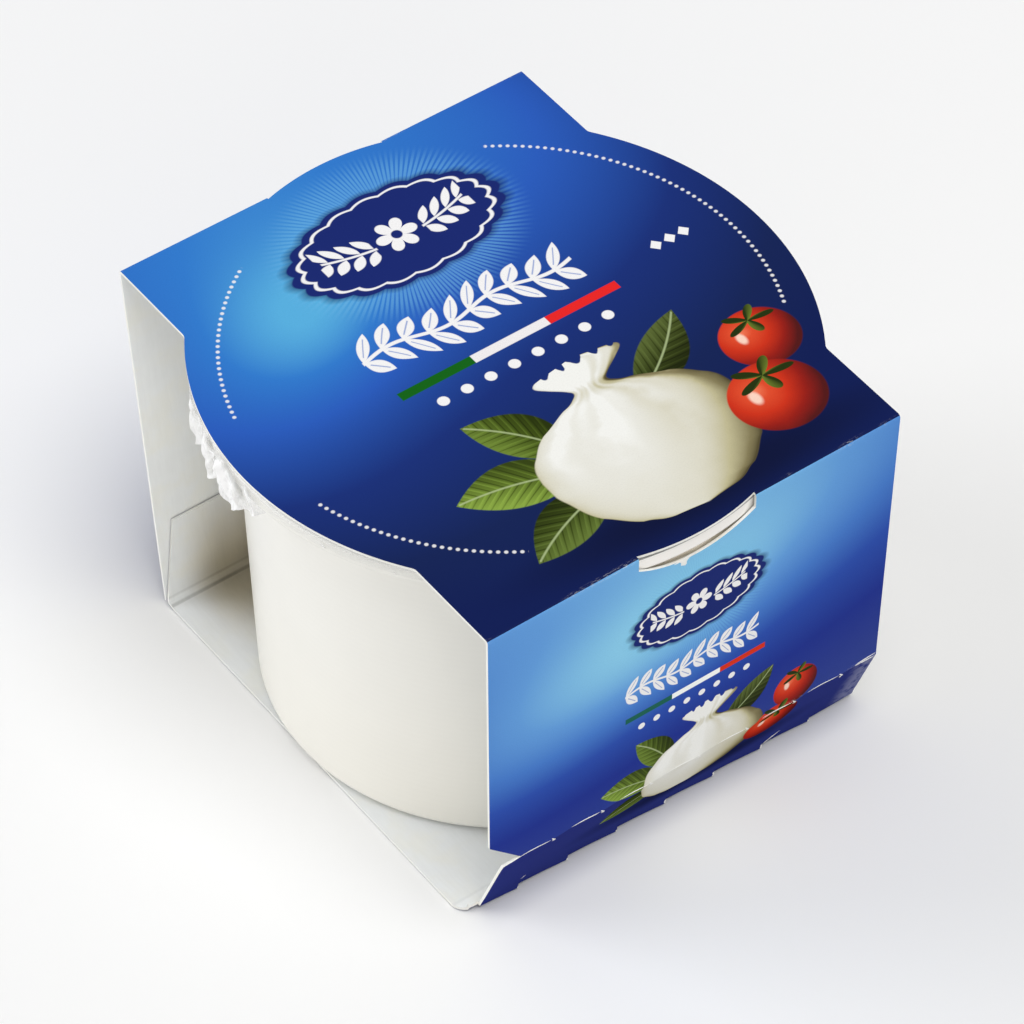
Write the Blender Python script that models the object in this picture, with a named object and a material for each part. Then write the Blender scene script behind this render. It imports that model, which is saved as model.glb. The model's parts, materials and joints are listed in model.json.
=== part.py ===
"""A sealed round tub of soft cheese in a printed board sleeve, as Blender objects.

Three pieces, in metres, +Z up, standing on Z = 0 with the origin under the middle:

    sleeve     one cut and creased blank of board, folded round the tub and glued at the back
    tub        the moulded plastic tub, filled and shut, from its rounded base to its rim
    lid_film   the clear film over the rim, with the skirt that hangs from it

X runs along the front fold, Y from the front wall to the back wall. The sleeve is open on its
two X sides, where the round tub shows.
"""

from math import atan2, cos, hypot, pi, sin, sqrt, tan

import bmesh
import bpy

MM = 0.001

# The sleeve, folded. Widths are along X, depths along Y.
BOARD = 0.45 * MM
GLUE_LINE = 0.10 * MM
TOP_DEPTH = 93.0 * MM
SLEEVE_WIDTH = 74.6 * MM
SLEEVE_HEIGHT = 67.7 * MM
BASE_DEPTH = 79.6 * MM
FOLD_RADIUS = 0.6 * MM
FOLD_STEPS = 3

# The tear strip is the bevelled panel between the front wall and the base.
STRIP_HEIGHT = 15.3 * MM
FRONT_LEAN = 0.8 * MM
STRIP_NARROWING = 3.2 * MM
NOTCH_REACH = 6.6 * MM
NOTCH_RISE = 6.0 * MM
WALL_TAPER = 0.7 * MM

# The arcs by which the top panel covers the tub's rim on the open sides.
SIDE_ARC_RADIUS = 49.7 * MM
SIDE_ARC_OFFSET = 3.0 * MM
SIDE_FILLET = 1.5 * MM
SIDE_ARC_STEPS = 28
FILLET_STEPS = 4

# The curved slots in the front and back walls, which the rim and a tab of the top panel fill.
SLOT_HALF_WIDTH = 10.6 * MM
SLOT_END_HEIGHT = 3.0 * MM
SLOT_DEPTH = 5.9 * MM
TAB_BULGE = 1.5 * MM
SLOT_STEPS = 12

# The glue flap stands up from the base inside the back wall.
FLAP_HEIGHT = 16.3 * MM
FLAP_SLANT = 2.8 * MM
BACK_WALL_LIFT = 0.4 * MM
BASE_CORNER = 3.0 * MM
CORNER_STEPS = 5

# The tub, turned about Z.
GAP = 0.3 * MM
TUB_TOP_RADIUS = 40.5 * MM
TUB_BASE_RADIUS = 38.6 * MM
TUB_BASE_ROUND = 2.3 * MM
RIM_RADIUS = 46.3 * MM
RIM_THICKNESS = 1.4 * MM
RIM_LIP = 2.6 * MM
RIM_LIP_WIDTH = 1.1 * MM
RIM_ROUND = 0.5 * MM
ROUND_STEPS = 4
TURN_STEPS = 96

# The film, turned about Z. Its skirt runs out before the front and back walls.
FILM = 0.3 * MM
SKIRT_DROP = 6.6 * MM
SKIRT_CLEARANCE = 1.55 * MM
SKIRT_RUN_OUT = 3.0 * MM

SMOOTH_ANGLE = 35 * pi / 180
WELD_DISTANCE = 1e-7
CREASE_TOLERANCE = 1e-6


def clear_scene():
    """Removes what the scene holds."""
    for old in list(bpy.data.objects):
        bpy.data.objects.remove(old, do_unlink=True)


def finish(name, colour, roughness, coat=0.0, alpha=1.0):
    """One Principled material."""
    material = bpy.data.materials.new(name)
    material.use_nodes = True
    shader = material.node_tree.nodes["Principled BSDF"]
    shader.inputs["Base Color"].default_value = (*colour, 1.0)
    shader.inputs["Roughness"].default_value = roughness
    shader.inputs["Metallic"].default_value = 0.0
    shader.inputs["Coat Weight"].default_value = coat
    shader.inputs["Alpha"].default_value = alpha
    return material


def add_object(name, bm, material):
    """Turns a bmesh into a named object with its material, shaded smooth but for its edges."""
    mesh = bpy.data.meshes.new(name)
    bm.to_mesh(mesh)
    bm.free()
    mesh.shade_smooth()
    mesh.set_sharp_from_angle(angle=SMOOTH_ANGLE)
    mesh.materials.append(material)
    piece = bpy.data.objects.new(name, mesh)
    bpy.context.scene.collection.objects.link(piece)
    return piece


def arc(centre_x, centre_y, radius, start, end, steps):
    """Points on an arc from the angle start to the angle end, both ends included."""
    turns = [start + (end - start) * k / steps for k in range(steps + 1)]
    return [(centre_x + radius * cos(a), centre_y + radius * sin(a)) for a in turns]


class Band:
    """The outer face of the board in side view: straight panels joined by rounded folds.

    A distance along the face is called s. corners holds (y, z) points, the free ends first
    and last. Panel k runs from corner k to corner k + 1.
    """

    def __init__(self, corners, radius, steps):
        self.pieces = []
        self.panel_start = []
        self.setback = [0.0]
        count = len(corners)
        heading = []
        length = []
        for (y0, z0), (y1, z1) in zip(corners, corners[1:]):
            heading.append(atan2(z1 - z0, y1 - y0))
            length.append(hypot(y1 - y0, z1 - z0))
        turn = []
        for before, after in zip(heading, heading[1:]):
            turn.append((after - before + pi) % (2 * pi) - pi)
        self.setback += [radius * tan(abs(a) / 2) for a in turn] + [0.0]
        self.creases = []
        s = 0.0
        for k in range(count - 1):
            away = (cos(heading[k]), sin(heading[k]))
            lead = self.setback[k]
            flat = length[k] - lead - self.setback[k + 1]
            start = (corners[k][0] + away[0] * lead, corners[k][1] + away[1] * lead)
            self.panel_start.append(s)
            self.pieces.append((s, flat, start, heading[k], 0.0))
            s += flat
            if k == count - 2:
                break
            bend = abs(turn[k]) * radius
            start = (start[0] + away[0] * flat, start[1] + away[1] * flat)
            self.pieces.append((s, bend, start, heading[k], turn[k] / bend))
            self.creases += [s + bend * j / steps for j in range(steps + 1)]
            s += bend
        self.length = s

    def on_panel(self, panel, along):
        """The s of a point on a panel, measured along it from its first corner."""
        return self.panel_start[panel] + along - self.setback[panel]

    def fold_middle(self, corner):
        """The s of the middle of the fold at a corner."""
        before = self.panel_start[corner - 1]
        before += self.pieces[2 * (corner - 1)][1]
        return (before + self.panel_start[corner]) / 2

    def place(self, s, flat_from=None):
        """The (y, z) of a distance s; flat_from names a panel whose plane is carried on."""
        index = 0
        while index + 1 < len(self.pieces) and s > self.pieces[index + 1][0]:
            index += 1
        if flat_from is not None:
            index = 2 * flat_from
        start, _, (y, z), heading, curl = self.pieces[index]
        t = s - start
        if curl == 0.0:
            return y + t * cos(heading), z + t * sin(heading)
        after = heading + curl * t
        return y + (sin(after) - sin(heading)) / curl, z - (cos(after) - cos(heading)) / curl


# Corners of the band, from the glue flap's free end round to the back wall's free end.
FLAP, BASE, STRIP, FRONT, TOP, BACK = range(6)


def sleeve_band():
    """The folded board in side view."""
    half_top = TOP_DEPTH / 2
    half_base = BASE_DEPTH / 2
    lean = (half_top - half_base) / SLEEVE_HEIGHT
    inset = BOARD + GLUE_LINE
    corners = [
        (half_base - inset + lean * FLAP_HEIGHT, FLAP_HEIGHT),
        (half_base - inset, 0.0),
        (-half_base, 0.0),
        (-half_top + FRONT_LEAN, STRIP_HEIGHT),
        (-half_top, SLEEVE_HEIGHT),
        (half_top, SLEEVE_HEIGHT),
        (half_base + lean * BACK_WALL_LIFT, BACK_WALL_LIFT),
    ]
    return Band(corners, FOLD_RADIUS, FOLD_STEPS)


def top_side_outline(band, half_width):
    """One side of the top panel, from front to back: straight, arc with fillets, straight."""
    middle = band.on_panel(TOP, TOP_DEPTH / 2)
    to_fillet_x = half_width + SIDE_FILLET + SIDE_ARC_OFFSET
    to_fillet = SIDE_ARC_RADIUS + SIDE_FILLET
    to_fillet_y = sqrt(to_fillet ** 2 - to_fillet_x ** 2)
    opening = atan2(to_fillet_y, to_fillet_x)
    fillet_x = half_width + SIDE_FILLET
    points = arc(fillet_x, middle - to_fillet_y, SIDE_FILLET, pi, pi - opening, FILLET_STEPS)
    rim_cover = arc(-SIDE_ARC_OFFSET, middle, SIDE_ARC_RADIUS, -opening, opening, SIDE_ARC_STEPS)
    points += rim_cover[1:-1]
    points += arc(fillet_x, middle + to_fillet_y, SIDE_FILLET, opening - pi, -pi, FILLET_STEPS)
    return points


def blank_side(band, half_width, notched):
    """The cut edge of the +X side of the blank, from the flap to the end of the back wall."""
    base_front = band.fold_middle(STRIP)
    strip_top = band.fold_middle(FRONT)
    narrow = STRIP_NARROWING if notched else 0.0
    low_half = half_width - WALL_TAPER
    points = [(half_width - FLAP_SLANT, 0.0), (half_width, band.fold_middle(BASE))]
    if notched:
        corner = BASE_CORNER
        points += arc(half_width - corner, base_front - corner, corner, 0, pi / 2, CORNER_STEPS)
        points.append((half_width - narrow, strip_top))
        points.append((half_width - NOTCH_REACH, strip_top))
        points.append((low_half, strip_top + NOTCH_RISE))
    else:
        points += [(half_width, base_front), (low_half, strip_top)]
    points.append((half_width, band.on_panel(TOP, 0.0)))
    points += top_side_outline(band, half_width)
    points.append((half_width, band.fold_middle(BACK)))
    points.append((half_width, band.length))
    return points


def slot_outline(fold, outwards):
    """A slot at a fold, as a loop: the tab's curved edge, then the wall's curved edge.

    fold is the s at which the top panel stops being flat, and outwards is +1 or -1, the
    way along s that leads down the wall.
    """
    chord = SLOT_HALF_WIDTH

    def bow(rise, base):
        radius = (chord ** 2 + rise ** 2) / (2 * rise)
        half_angle = atan2(chord, radius - rise)
        curve = arc(0.0, rise - radius, radius, pi / 2 + half_angle, pi / 2 - half_angle, SLOT_STEPS)
        return [(x, fold + outwards * (base + y)) for x, y in curve]

    tab_edge = bow(TAB_BULGE, 0.0)
    wall_edge = bow(SLOT_DEPTH - SLOT_END_HEIGHT, SLOT_END_HEIGHT)
    return tab_edge + wall_edge[::-1]


def add_loop(bm, points):
    """Adds a closed loop of edges in the plane of the flat blank."""
    corners = [bm.verts.new((x, s, 0.0)) for x, s in points]
    return [bm.edges.new((a, b)) for a, b in zip(corners, corners[1:] + corners[:1])]


def build_sleeve():
    """Cuts the flat blank, creases it and folds it, then gives the board its thickness."""
    band = sleeve_band()
    half_width = SLEEVE_WIDTH / 2
    right = blank_side(band, half_width, notched=False)
    left = [(-x, s) for x, s in blank_side(band, half_width, notched=True)]
    top_front = band.panel_start[TOP]
    top_back = top_front + TOP_DEPTH - band.setback[TOP] - band.setback[BACK]

    bm = bmesh.new()
    edges = add_loop(bm, right + left[::-1])
    edges += add_loop(bm, slot_outline(top_front, -1))
    edges += add_loop(bm, slot_outline(top_back, 1))
    bmesh.ops.triangle_fill(bm, edges=edges, use_beauty=True)
    for s in band.creases:
        everything = bm.verts[:] + bm.edges[:] + bm.faces[:]
        bmesh.ops.bisect_plane(
            bm, geom=everything, dist=CREASE_TOLERANCE, plane_co=(0, s, 0), plane_no=(0, 1, 0)
        )
    for vert in bm.verts:
        x, s, _ = vert.co
        beyond = max(top_front - s, s - top_back)
        between_ends = abs(x) < SLOT_HALF_WIDTH - CREASE_TOLERANCE
        in_tab = between_ends and 0 < beyond < TAB_BULGE + CREASE_TOLERANCE
        y, z = band.place(s, TOP if in_tab else None)
        vert.co = (x, y, z)
    bmesh.ops.remove_doubles(bm, verts=bm.verts[:], dist=WELD_DISTANCE)
    bmesh.ops.recalc_face_normals(bm, faces=bm.faces[:])
    highest = max(bm.faces, key=lambda face: face.calc_center_median().z)
    if highest.normal.z < 0:
        bmesh.ops.reverse_faces(bm, faces=bm.faces[:])

    printed = finish("printed_board", (0.03, 0.12, 0.50), 0.38, coat=0.3)
    sleeve = add_object("sleeve", bm, printed)
    thickness = sleeve.modifiers.new("board", "SOLIDIFY")
    thickness.thickness = BOARD
    thickness.offset = -1.0
    thickness.use_even_offset = True
    thickness.use_rim = True
    return sleeve


def turned(profile):
    """A closed body of revolution about Z from an (r, z) profile that starts and ends at r = 0."""
    bm = bmesh.new()
    points = [bm.verts.new((r, 0.0, z)) for r, z in profile]
    edges = [bm.edges.new((a, b)) for a, b in zip(points, points[1:])]
    bmesh.ops.spin(
        bm, geom=points + edges, cent=(0, 0, 0), axis=(0, 0, 1), angle=2 * pi, steps=TURN_STEPS
    )
    bmesh.ops.remove_doubles(bm, verts=bm.verts[:], dist=WELD_DISTANCE)
    bmesh.ops.recalc_face_normals(bm, faces=bm.faces[:])
    return bm


def tub_top():
    """The height of the rim's top, under the film and the top panel."""
    return SLEEVE_HEIGHT - BOARD - GAP - FILM - GAP


def build_tub():
    """The tub as one solid: rounded base, drafted wall, flat rim with a lip turned down."""
    base = BOARD + GAP
    top = tub_top()
    under_rim = top - RIM_THICKNESS
    lip_bottom = top - RIM_LIP
    profile = [(0.0, base)]
    profile += arc(
        TUB_BASE_RADIUS - TUB_BASE_ROUND, base + TUB_BASE_ROUND, TUB_BASE_ROUND,
        -pi / 2, 0.0, ROUND_STEPS,
    )
    profile.append((TUB_TOP_RADIUS, under_rim))
    profile.append((RIM_RADIUS - RIM_LIP_WIDTH, under_rim))
    profile.append((RIM_RADIUS - RIM_LIP_WIDTH, lip_bottom))
    profile.append((RIM_RADIUS, lip_bottom))
    profile += arc(RIM_RADIUS - RIM_ROUND, top - RIM_ROUND, RIM_ROUND, 0.0, pi / 2, ROUND_STEPS)
    profile.append((0.0, top))
    plastic = finish("white_plastic", (0.86, 0.85, 0.80), 0.32)
    return add_object("tub", turned(profile), plastic)


def build_lid_film():
    """The film: a disc over the rim and a skirt, short at the front and back and long at the sides."""
    low = tub_top() + GAP
    top = low + FILM
    inner = RIM_RADIUS + GAP
    outer = inner + FILM
    short_end = low - FILM
    long_end = top - SKIRT_DROP
    profile = [(0.0, low), (inner, low), (inner, short_end), (outer, short_end), (outer, top), (0.0, top)]
    bm = turned(profile)
    reach = TOP_DEPTH / 2 - SKIRT_CLEARANCE
    for vert in bm.verts:
        if vert.co.z < (low + short_end) / 2:
            length = min(max((reach - abs(vert.co.y)) / SKIRT_RUN_OUT, 0.0), 1.0)
            vert.co.z += (long_end - short_end) * length
    clear = finish("clear_film", (0.92, 0.93, 0.93), 0.12, alpha=0.35)
    return add_object("lid_film", bm, clear)


def main():
    """Builds the whole part."""
    clear_scene()
    build_sleeve()
    build_tub()
    build_lid_film()


main()
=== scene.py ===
"""Looks of the sleeved tub of soft cheese: its printed board, its tub and its clear film.

Metres, +Z up. X runs along the front fold, Y from the front wall to the back wall. The board
is a flat blank until it is folded: a place on it is (x, s), x across and s along the blank,
from the glue flap's free end round under the tub, up the front and over the top. The print
is laid out on the blank, so its UV map holds (x, s).
"""

import json
import logging
from dataclasses import dataclass, field
from enum import IntEnum
from math import cos, pi, radians, sin, sqrt
from typing import Any, Sequence

import bpy
import numpy as np
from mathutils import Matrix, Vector

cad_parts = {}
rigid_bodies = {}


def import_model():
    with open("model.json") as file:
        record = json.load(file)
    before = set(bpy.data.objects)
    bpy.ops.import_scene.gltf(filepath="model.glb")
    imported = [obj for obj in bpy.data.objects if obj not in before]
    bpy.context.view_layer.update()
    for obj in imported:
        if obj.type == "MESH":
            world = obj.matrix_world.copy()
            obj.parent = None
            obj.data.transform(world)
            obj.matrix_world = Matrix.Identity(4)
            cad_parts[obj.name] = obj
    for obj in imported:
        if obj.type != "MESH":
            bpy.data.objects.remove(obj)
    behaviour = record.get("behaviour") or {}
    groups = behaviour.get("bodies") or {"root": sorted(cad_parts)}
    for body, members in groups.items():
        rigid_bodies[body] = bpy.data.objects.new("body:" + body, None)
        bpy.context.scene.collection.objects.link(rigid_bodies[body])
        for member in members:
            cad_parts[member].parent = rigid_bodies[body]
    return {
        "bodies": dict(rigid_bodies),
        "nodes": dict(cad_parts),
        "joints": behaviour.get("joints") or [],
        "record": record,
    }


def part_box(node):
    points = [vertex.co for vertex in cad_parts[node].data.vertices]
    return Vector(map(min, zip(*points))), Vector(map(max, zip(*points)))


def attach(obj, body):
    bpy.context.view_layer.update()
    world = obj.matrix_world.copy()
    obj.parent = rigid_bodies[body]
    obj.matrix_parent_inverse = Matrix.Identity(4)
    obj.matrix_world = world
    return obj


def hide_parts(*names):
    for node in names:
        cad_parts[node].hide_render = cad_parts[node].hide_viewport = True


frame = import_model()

MM = 0.001
BODY = "root"
UV_LENGTH = 100 * MM
HAIR = 1e-5
Colour = tuple[float, float, float]
log = logging.getLogger("sleeved_tub")


def srgb(red: float, green: float, blue: float) -> Colour:
    """The linear colour of an sRGB colour whose channels run from 0 to 255."""
    channels = []
    for level in (red, green, blue):
        share = level / 255
        channels.append(share / 12.92 if share <= 0.04045 else ((share + 0.055) / 1.055) ** 2.4)
    return (channels[0], channels[1], channels[2])


# ---------------------------------------------------------------------------------------------
# Shader maths
# ---------------------------------------------------------------------------------------------


class Value:
    """A number that changes over a surface: a socket with Python's arithmetic on it."""

    def __init__(self, tree: "Tree", socket: Any) -> None:
        """Wraps an output socket of a node in the tree."""
        self.tree = tree
        self.socket = socket

    def math(self, operation: str, *others: "Value | float", clamp: bool = False) -> "Value":
        """Adds one Math node.

        Args:
            operation: the Math node's operation.
            others: its second and third operand.
            clamp: whether the result is held between 0 and 1.

        Returns:
            The node's result.
        """
        inputs = {0: self}
        for place, other in enumerate(others, start=1):
            inputs[place] = other
        node = self.tree.node("ShaderNodeMath", inputs, operation=operation, use_clamp=clamp)
        return Value(self.tree, node.outputs[0])

    def _swapped(self, operation: str, other: float) -> "Value":
        """A Math node with a plain number before this value."""
        node = self.tree.node("ShaderNodeMath", {0: other, 1: self}, operation=operation)
        return Value(self.tree, node.outputs[0])

    def __add__(self, other: "Value | float") -> "Value":
        """Sum."""
        return self.math("ADD", other)

    def __radd__(self, other: float) -> "Value":
        """Sum with a number before it."""
        return self.math("ADD", other)

    def __sub__(self, other: "Value | float") -> "Value":
        """Difference."""
        return self.math("SUBTRACT", other)

    def __rsub__(self, other: float) -> "Value":
        """A number less this value."""
        return self._swapped("SUBTRACT", other)

    def __mul__(self, other: "Value | float") -> "Value":
        """Product."""
        return self.math("MULTIPLY", other)

    def __rmul__(self, other: float) -> "Value":
        """Product with a number before it."""
        return self.math("MULTIPLY", other)

    def __truediv__(self, other: "Value | float") -> "Value":
        """Quotient."""
        return self.math("DIVIDE", other)

    def __rtruediv__(self, other: float) -> "Value":
        """A number divided by this value."""
        return self._swapped("DIVIDE", other)

    def __pow__(self, other: "Value | float") -> "Value":
        """Power."""
        return self.math("POWER", other)

    def __abs__(self) -> "Value":
        """Size without sign."""
        return self.math("ABSOLUTE")

    def sqrt(self) -> "Value":
        """Square root."""
        return self.math("SQRT")

    def sine(self) -> "Value":
        """Sine of an angle in radians."""
        return self.math("SINE")

    def cosine(self) -> "Value":
        """Cosine of an angle in radians."""
        return self.math("COSINE")

    def angle_from(self, across: "Value") -> "Value":
        """The angle whose tangent is this value over across."""
        return self.math("ARCTAN2", across)

    def lower(self, other: "Value | float") -> "Value":
        """The smaller of two."""
        return self.math("MINIMUM", other)

    def higher(self, other: "Value | float") -> "Value":
        """The larger of two."""
        return self.math("MAXIMUM", other)

    def repeat(self, pitch: float) -> "Value":
        """The distance from the middle of its cell, in cells of one pitch, the first about 0."""
        return self - self.math("DIVIDE", pitch).math("ROUND") * pitch

    def share(self) -> "Value":
        """The value held between 0 and 1."""
        return self.math("ADD", 0.0, clamp=True)

    def rise(self, low: float, high: float) -> "Value":
        """A smooth step from 0 at low to 1 at high; low may be the larger."""
        span = 1.0 / (high - low)
        ramp = self.math("MULTIPLY_ADD", span, -low * span, clamp=True)
        return ramp * ramp * (3.0 - 2.0 * ramp)

    def inside(self, soft: float) -> "Value":
        """The ink of a signed distance: 1 where it is under 0, 0 outside, over a soft edge."""
        return self.math("MULTIPLY_ADD", -1.0 / soft, 0.5, clamp=True)


class Tree:
    """A node tree, with one way of adding any node."""

    def __init__(self, tree: bpy.types.NodeTree) -> None:
        """Empties the tree."""
        self.tree = tree
        self.tree.nodes.clear()

    def node(self, kind: str, inputs: dict[Any, Any] | None = None, **settings: Any) -> Any:
        """Adds a node: its settings first, then its sockets.

        Args:
            kind: the node's type.
            inputs: a number, colour, vector, Value or socket for each named or numbered input.
            settings: the node's own properties, with stops for a ramp's (place, colour) pairs.

        Returns:
            The node.
        """
        node = self.tree.nodes.new(kind)
        stops = settings.pop("stops", None)
        for name, setting in settings.items():
            setattr(node, name, setting)
        if stops is not None:
            elements = node.color_ramp.elements
            while len(elements) < len(stops):
                elements.new(1.0)
            for element, (place, colour) in zip(elements, stops):
                element.position = place
                element.color = (*colour, 1.0)
        for name, given in (inputs or {}).items():
            socket = node.inputs[name]
            if isinstance(given, Value):
                given = given.socket
            if isinstance(given, bpy.types.NodeSocket):
                self.tree.links.new(given, socket)
            elif isinstance(given, tuple) and len(given) == 3 and socket.type == "RGBA":
                socket.default_value = (*given, 1.0)
            else:
                socket.default_value = given
        return node

    def value(self, socket: Any) -> Value:
        """A socket as a Value."""
        return Value(self, socket)

    def mix(self, below: Any, above: Any, share: "Value | float") -> Any:
        """The colour that lies share of the way from below to above."""
        inputs = {"Factor": share, 6: below, 7: above}
        return self.node("ShaderNodeMix", inputs, data_type="RGBA").outputs[2]

    def tint(self, colour: Any, level: Value) -> Any:
        """A colour times a number."""
        inputs = {0: colour, 3: level}
        scaled = self.node("ShaderNodeVectorMath", inputs, operation="SCALE")
        return scaled.outputs[0]

    def ramp(
        self, level: Value, stops: Sequence[tuple[float, Colour]], between: str = "LINEAR"
    ) -> Any:
        """The colour of a level between coloured stops."""
        node = self.node("ShaderNodeValToRGB", {0: level}, stops=list(stops))
        node.color_ramp.interpolation = between
        return node.outputs[0]

    def place(self) -> Any:
        """The object's own coordinates."""
        return self.node("ShaderNodeTexCoord").outputs["Object"]

    def axes(self, vector: Any) -> tuple[Value, Value, Value]:
        """The three parts of a vector."""
        parts = self.node("ShaderNodeSeparateXYZ", {0: vector}).outputs
        return self.value(parts[0]), self.value(parts[1]), self.value(parts[2])

    def stretched(self, vector: Any, scale: tuple[float, float, float]) -> Any:
        """A vector scaled along each axis."""
        return self.node("ShaderNodeMapping", {"Vector": vector, "Scale": scale}).outputs[0]

    def noise(self, vector: Any, scale: float, detail: float = 2.0, rough: float = 0.5) -> Value:
        """Soft noise about 0.5, with scale cells in a metre."""
        inputs = {"Vector": vector, "Scale": scale, "Detail": detail, "Roughness": rough}
        return self.value(self.node("ShaderNodeTexNoise", inputs).outputs["Fac"])

    def bump(self, height: Value, depth: float, strength: float = 1.0) -> Any:
        """The normal of a relief that is depth metres high."""
        inputs = {"Height": height, "Distance": depth, "Strength": strength}
        return self.node("ShaderNodeBump", inputs).outputs[0]

    def surface(self, inputs: dict[str, Any]) -> None:
        """Ends the tree with a Principled surface of these inputs."""
        shader = self.node("ShaderNodeBsdfPrincipled", inputs)
        self.node("ShaderNodeOutputMaterial", {0: shader.outputs[0]})


# ---------------------------------------------------------------------------------------------
# Meshes
# ---------------------------------------------------------------------------------------------


def mesh_piece(name: str, places: np.ndarray, faces: np.ndarray) -> bpy.types.Object:
    """Puts arrays of points and faces into a piece that rides on the part's one body.

    Args:
        name: the piece's name.
        places: (n, 3) points in metres.
        faces: (m, 4) indices of quads; a triangle repeats its last index.

    Returns:
        The new object, at the origin.
    """
    mesh = bpy.data.meshes.new(name)
    rings = [face[:3] if face[2] == face[3] else face for face in faces.tolist()]
    mesh.from_pydata(places.tolist(), [], rings)
    mesh.validate()
    piece = bpy.data.objects.new(name, mesh)
    bpy.context.scene.collection.objects.link(piece)
    mesh.shade_smooth()
    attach(piece, BODY)
    return piece


def grid_faces(rows: int, columns: int, ring: bool = False) -> np.ndarray:
    """Quads of a grid of points that is stored row by row.

    Args:
        rows: number of rows of points.
        columns: points in a row.
        ring: whether the last column joins the first.

    Returns:
        (m, 4) indices, counter-clockwise where rows run up and columns run right.
    """
    across = columns if ring else columns - 1
    row, column = np.meshgrid(np.arange(rows - 1), np.arange(across), indexing="ij")
    after = (column + 1) % columns
    corners = [row * columns + column, row * columns + after]
    corners += [(row + 1) * columns + after, (row + 1) * columns + column]
    return np.stack(corners, axis=-1).reshape(-1, 4)


def sharpen(piece: bpy.types.Object, angle: float) -> None:
    """Marks as sharp each edge that turns by more than the angle."""
    piece.data.set_sharp_from_angle(angle=angle)


def smooth_noise(rng: np.random.Generator, at: np.ndarray, wave: float, count: int = 5) -> np.ndarray:
    """Gentle unevenness along one axis: a sum of sines of random phase, about -1 to 1.

    Args:
        rng: the seeded source of chance.
        at: places along the axis.
        wave: the longest wave's length.
        count: number of waves, each shorter than the one before.

    Returns:
        One number for each place.
    """
    total = np.zeros_like(at, dtype=float)
    for order in range(count):
        length = wave / 1.7**order
        total += np.sin(2 * pi * at / length + rng.uniform(0, 2 * pi)) / 1.4**order
    return total / 2.2


# ---------------------------------------------------------------------------------------------
# The folded board
# ---------------------------------------------------------------------------------------------


class Panel(IntEnum):
    """The panels of the blank, in order along s."""

    FLAP = 0
    BASE = 1
    STRIP = 2
    FRONT = 3
    TOP = 4
    BACK = 5


@dataclass
class FoldedPath:
    """The outer face of the board in side view: straight panels joined by rounded folds.

    Distance along the face is s. A panel is a line; a fold is an arc tangent to both panels,
    so its two ends lie radius * tan(turn / 2) from the corner.
    """

    corners: np.ndarray
    radius: float

    def __post_init__(self) -> None:
        """Works out where each panel and fold starts, its heading and its curl."""
        steps = np.diff(self.corners, axis=0)
        heading = np.arctan2(steps[:, 1], steps[:, 0])
        turn = (np.diff(heading) + pi) % (2 * pi) - pi
        setback = self.radius * np.tan(np.abs(turn) / 2)
        lead = np.concatenate([[0.0], setback])
        flat = np.hypot(steps[:, 0], steps[:, 1]) - lead - np.concatenate([setback, [0.0]])
        bend = np.abs(turn) * self.radius
        away = np.stack([np.cos(heading), np.sin(heading)], axis=1)
        panels = len(heading)
        self.length_of = np.zeros(2 * panels - 1)
        self.length_of[0::2] = flat
        self.length_of[1::2] = bend
        self.start_of = np.concatenate([[0.0], np.cumsum(self.length_of)[:-1]])
        self.heading_of = np.repeat(heading, 2)[:-1]
        self.curl_of = np.zeros(2 * panels - 1)
        self.curl_of[1::2] = turn / bend
        flat_start = self.corners[:-1] + away * lead[:, None]
        self.point_of = np.zeros((2 * panels - 1, 2))
        self.point_of[0::2] = flat_start
        self.point_of[1::2] = (flat_start + away * flat[:, None])[:-1]
        self.length = float(self.length_of.sum())

    def panel_ends(self, panel: Panel) -> tuple[float, float]:
        """The s at which a panel's flat part starts and ends."""
        start = float(self.start_of[2 * panel])
        return start, start + float(self.length_of[2 * panel])

    def fold_ends(self, after: Panel) -> tuple[float, float]:
        """The s at which the fold before a panel starts and ends."""
        return self.panel_ends(Panel(after - 1))[1], self.panel_ends(after)[0]

    def fold_middle(self, after: Panel) -> float:
        """The s of the middle of the fold before a panel."""
        low, high = self.fold_ends(after)
        return (low + high) / 2

    def place(self, s: np.ndarray, held: np.ndarray | None = None) -> tuple[np.ndarray, np.ndarray]:
        """The points and outward normals of distances s.

        On a fold the heading is h + c t, so a point is start + (sin(h + c t) - sin h,
        cos h - cos(h + c t)) / c; on a panel it is start + t (cos h, sin h). The outward
        normal is the heading turned left.

        Args:
            s: distances along the face, in any shape.
            held: for each distance the index of the piece whose line is carried on, or -1.

        Returns:
            Arrays of (y, z) points and (y, z) normals, with one more axis than s.
        """
        index = np.clip(np.searchsorted(self.start_of, s, side="right") - 1, 0, None)
        if held is not None:
            index = np.where(held >= 0, held, index)
        t = s - self.start_of[index]
        heading = self.heading_of[index]
        curl = self.curl_of[index]
        bent = curl != 0
        safe = np.where(bent, curl, 1.0)
        after = heading + curl * t
        along = np.where(bent, (np.sin(after) - np.sin(heading)) / safe, t * np.cos(heading))
        up = np.where(bent, (np.cos(heading) - np.cos(after)) / safe, t * np.sin(heading))
        points = self.point_of[index] + np.stack([along, up], axis=-1)
        return points, np.stack([-np.sin(after), np.cos(after)], axis=-1)


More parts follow.
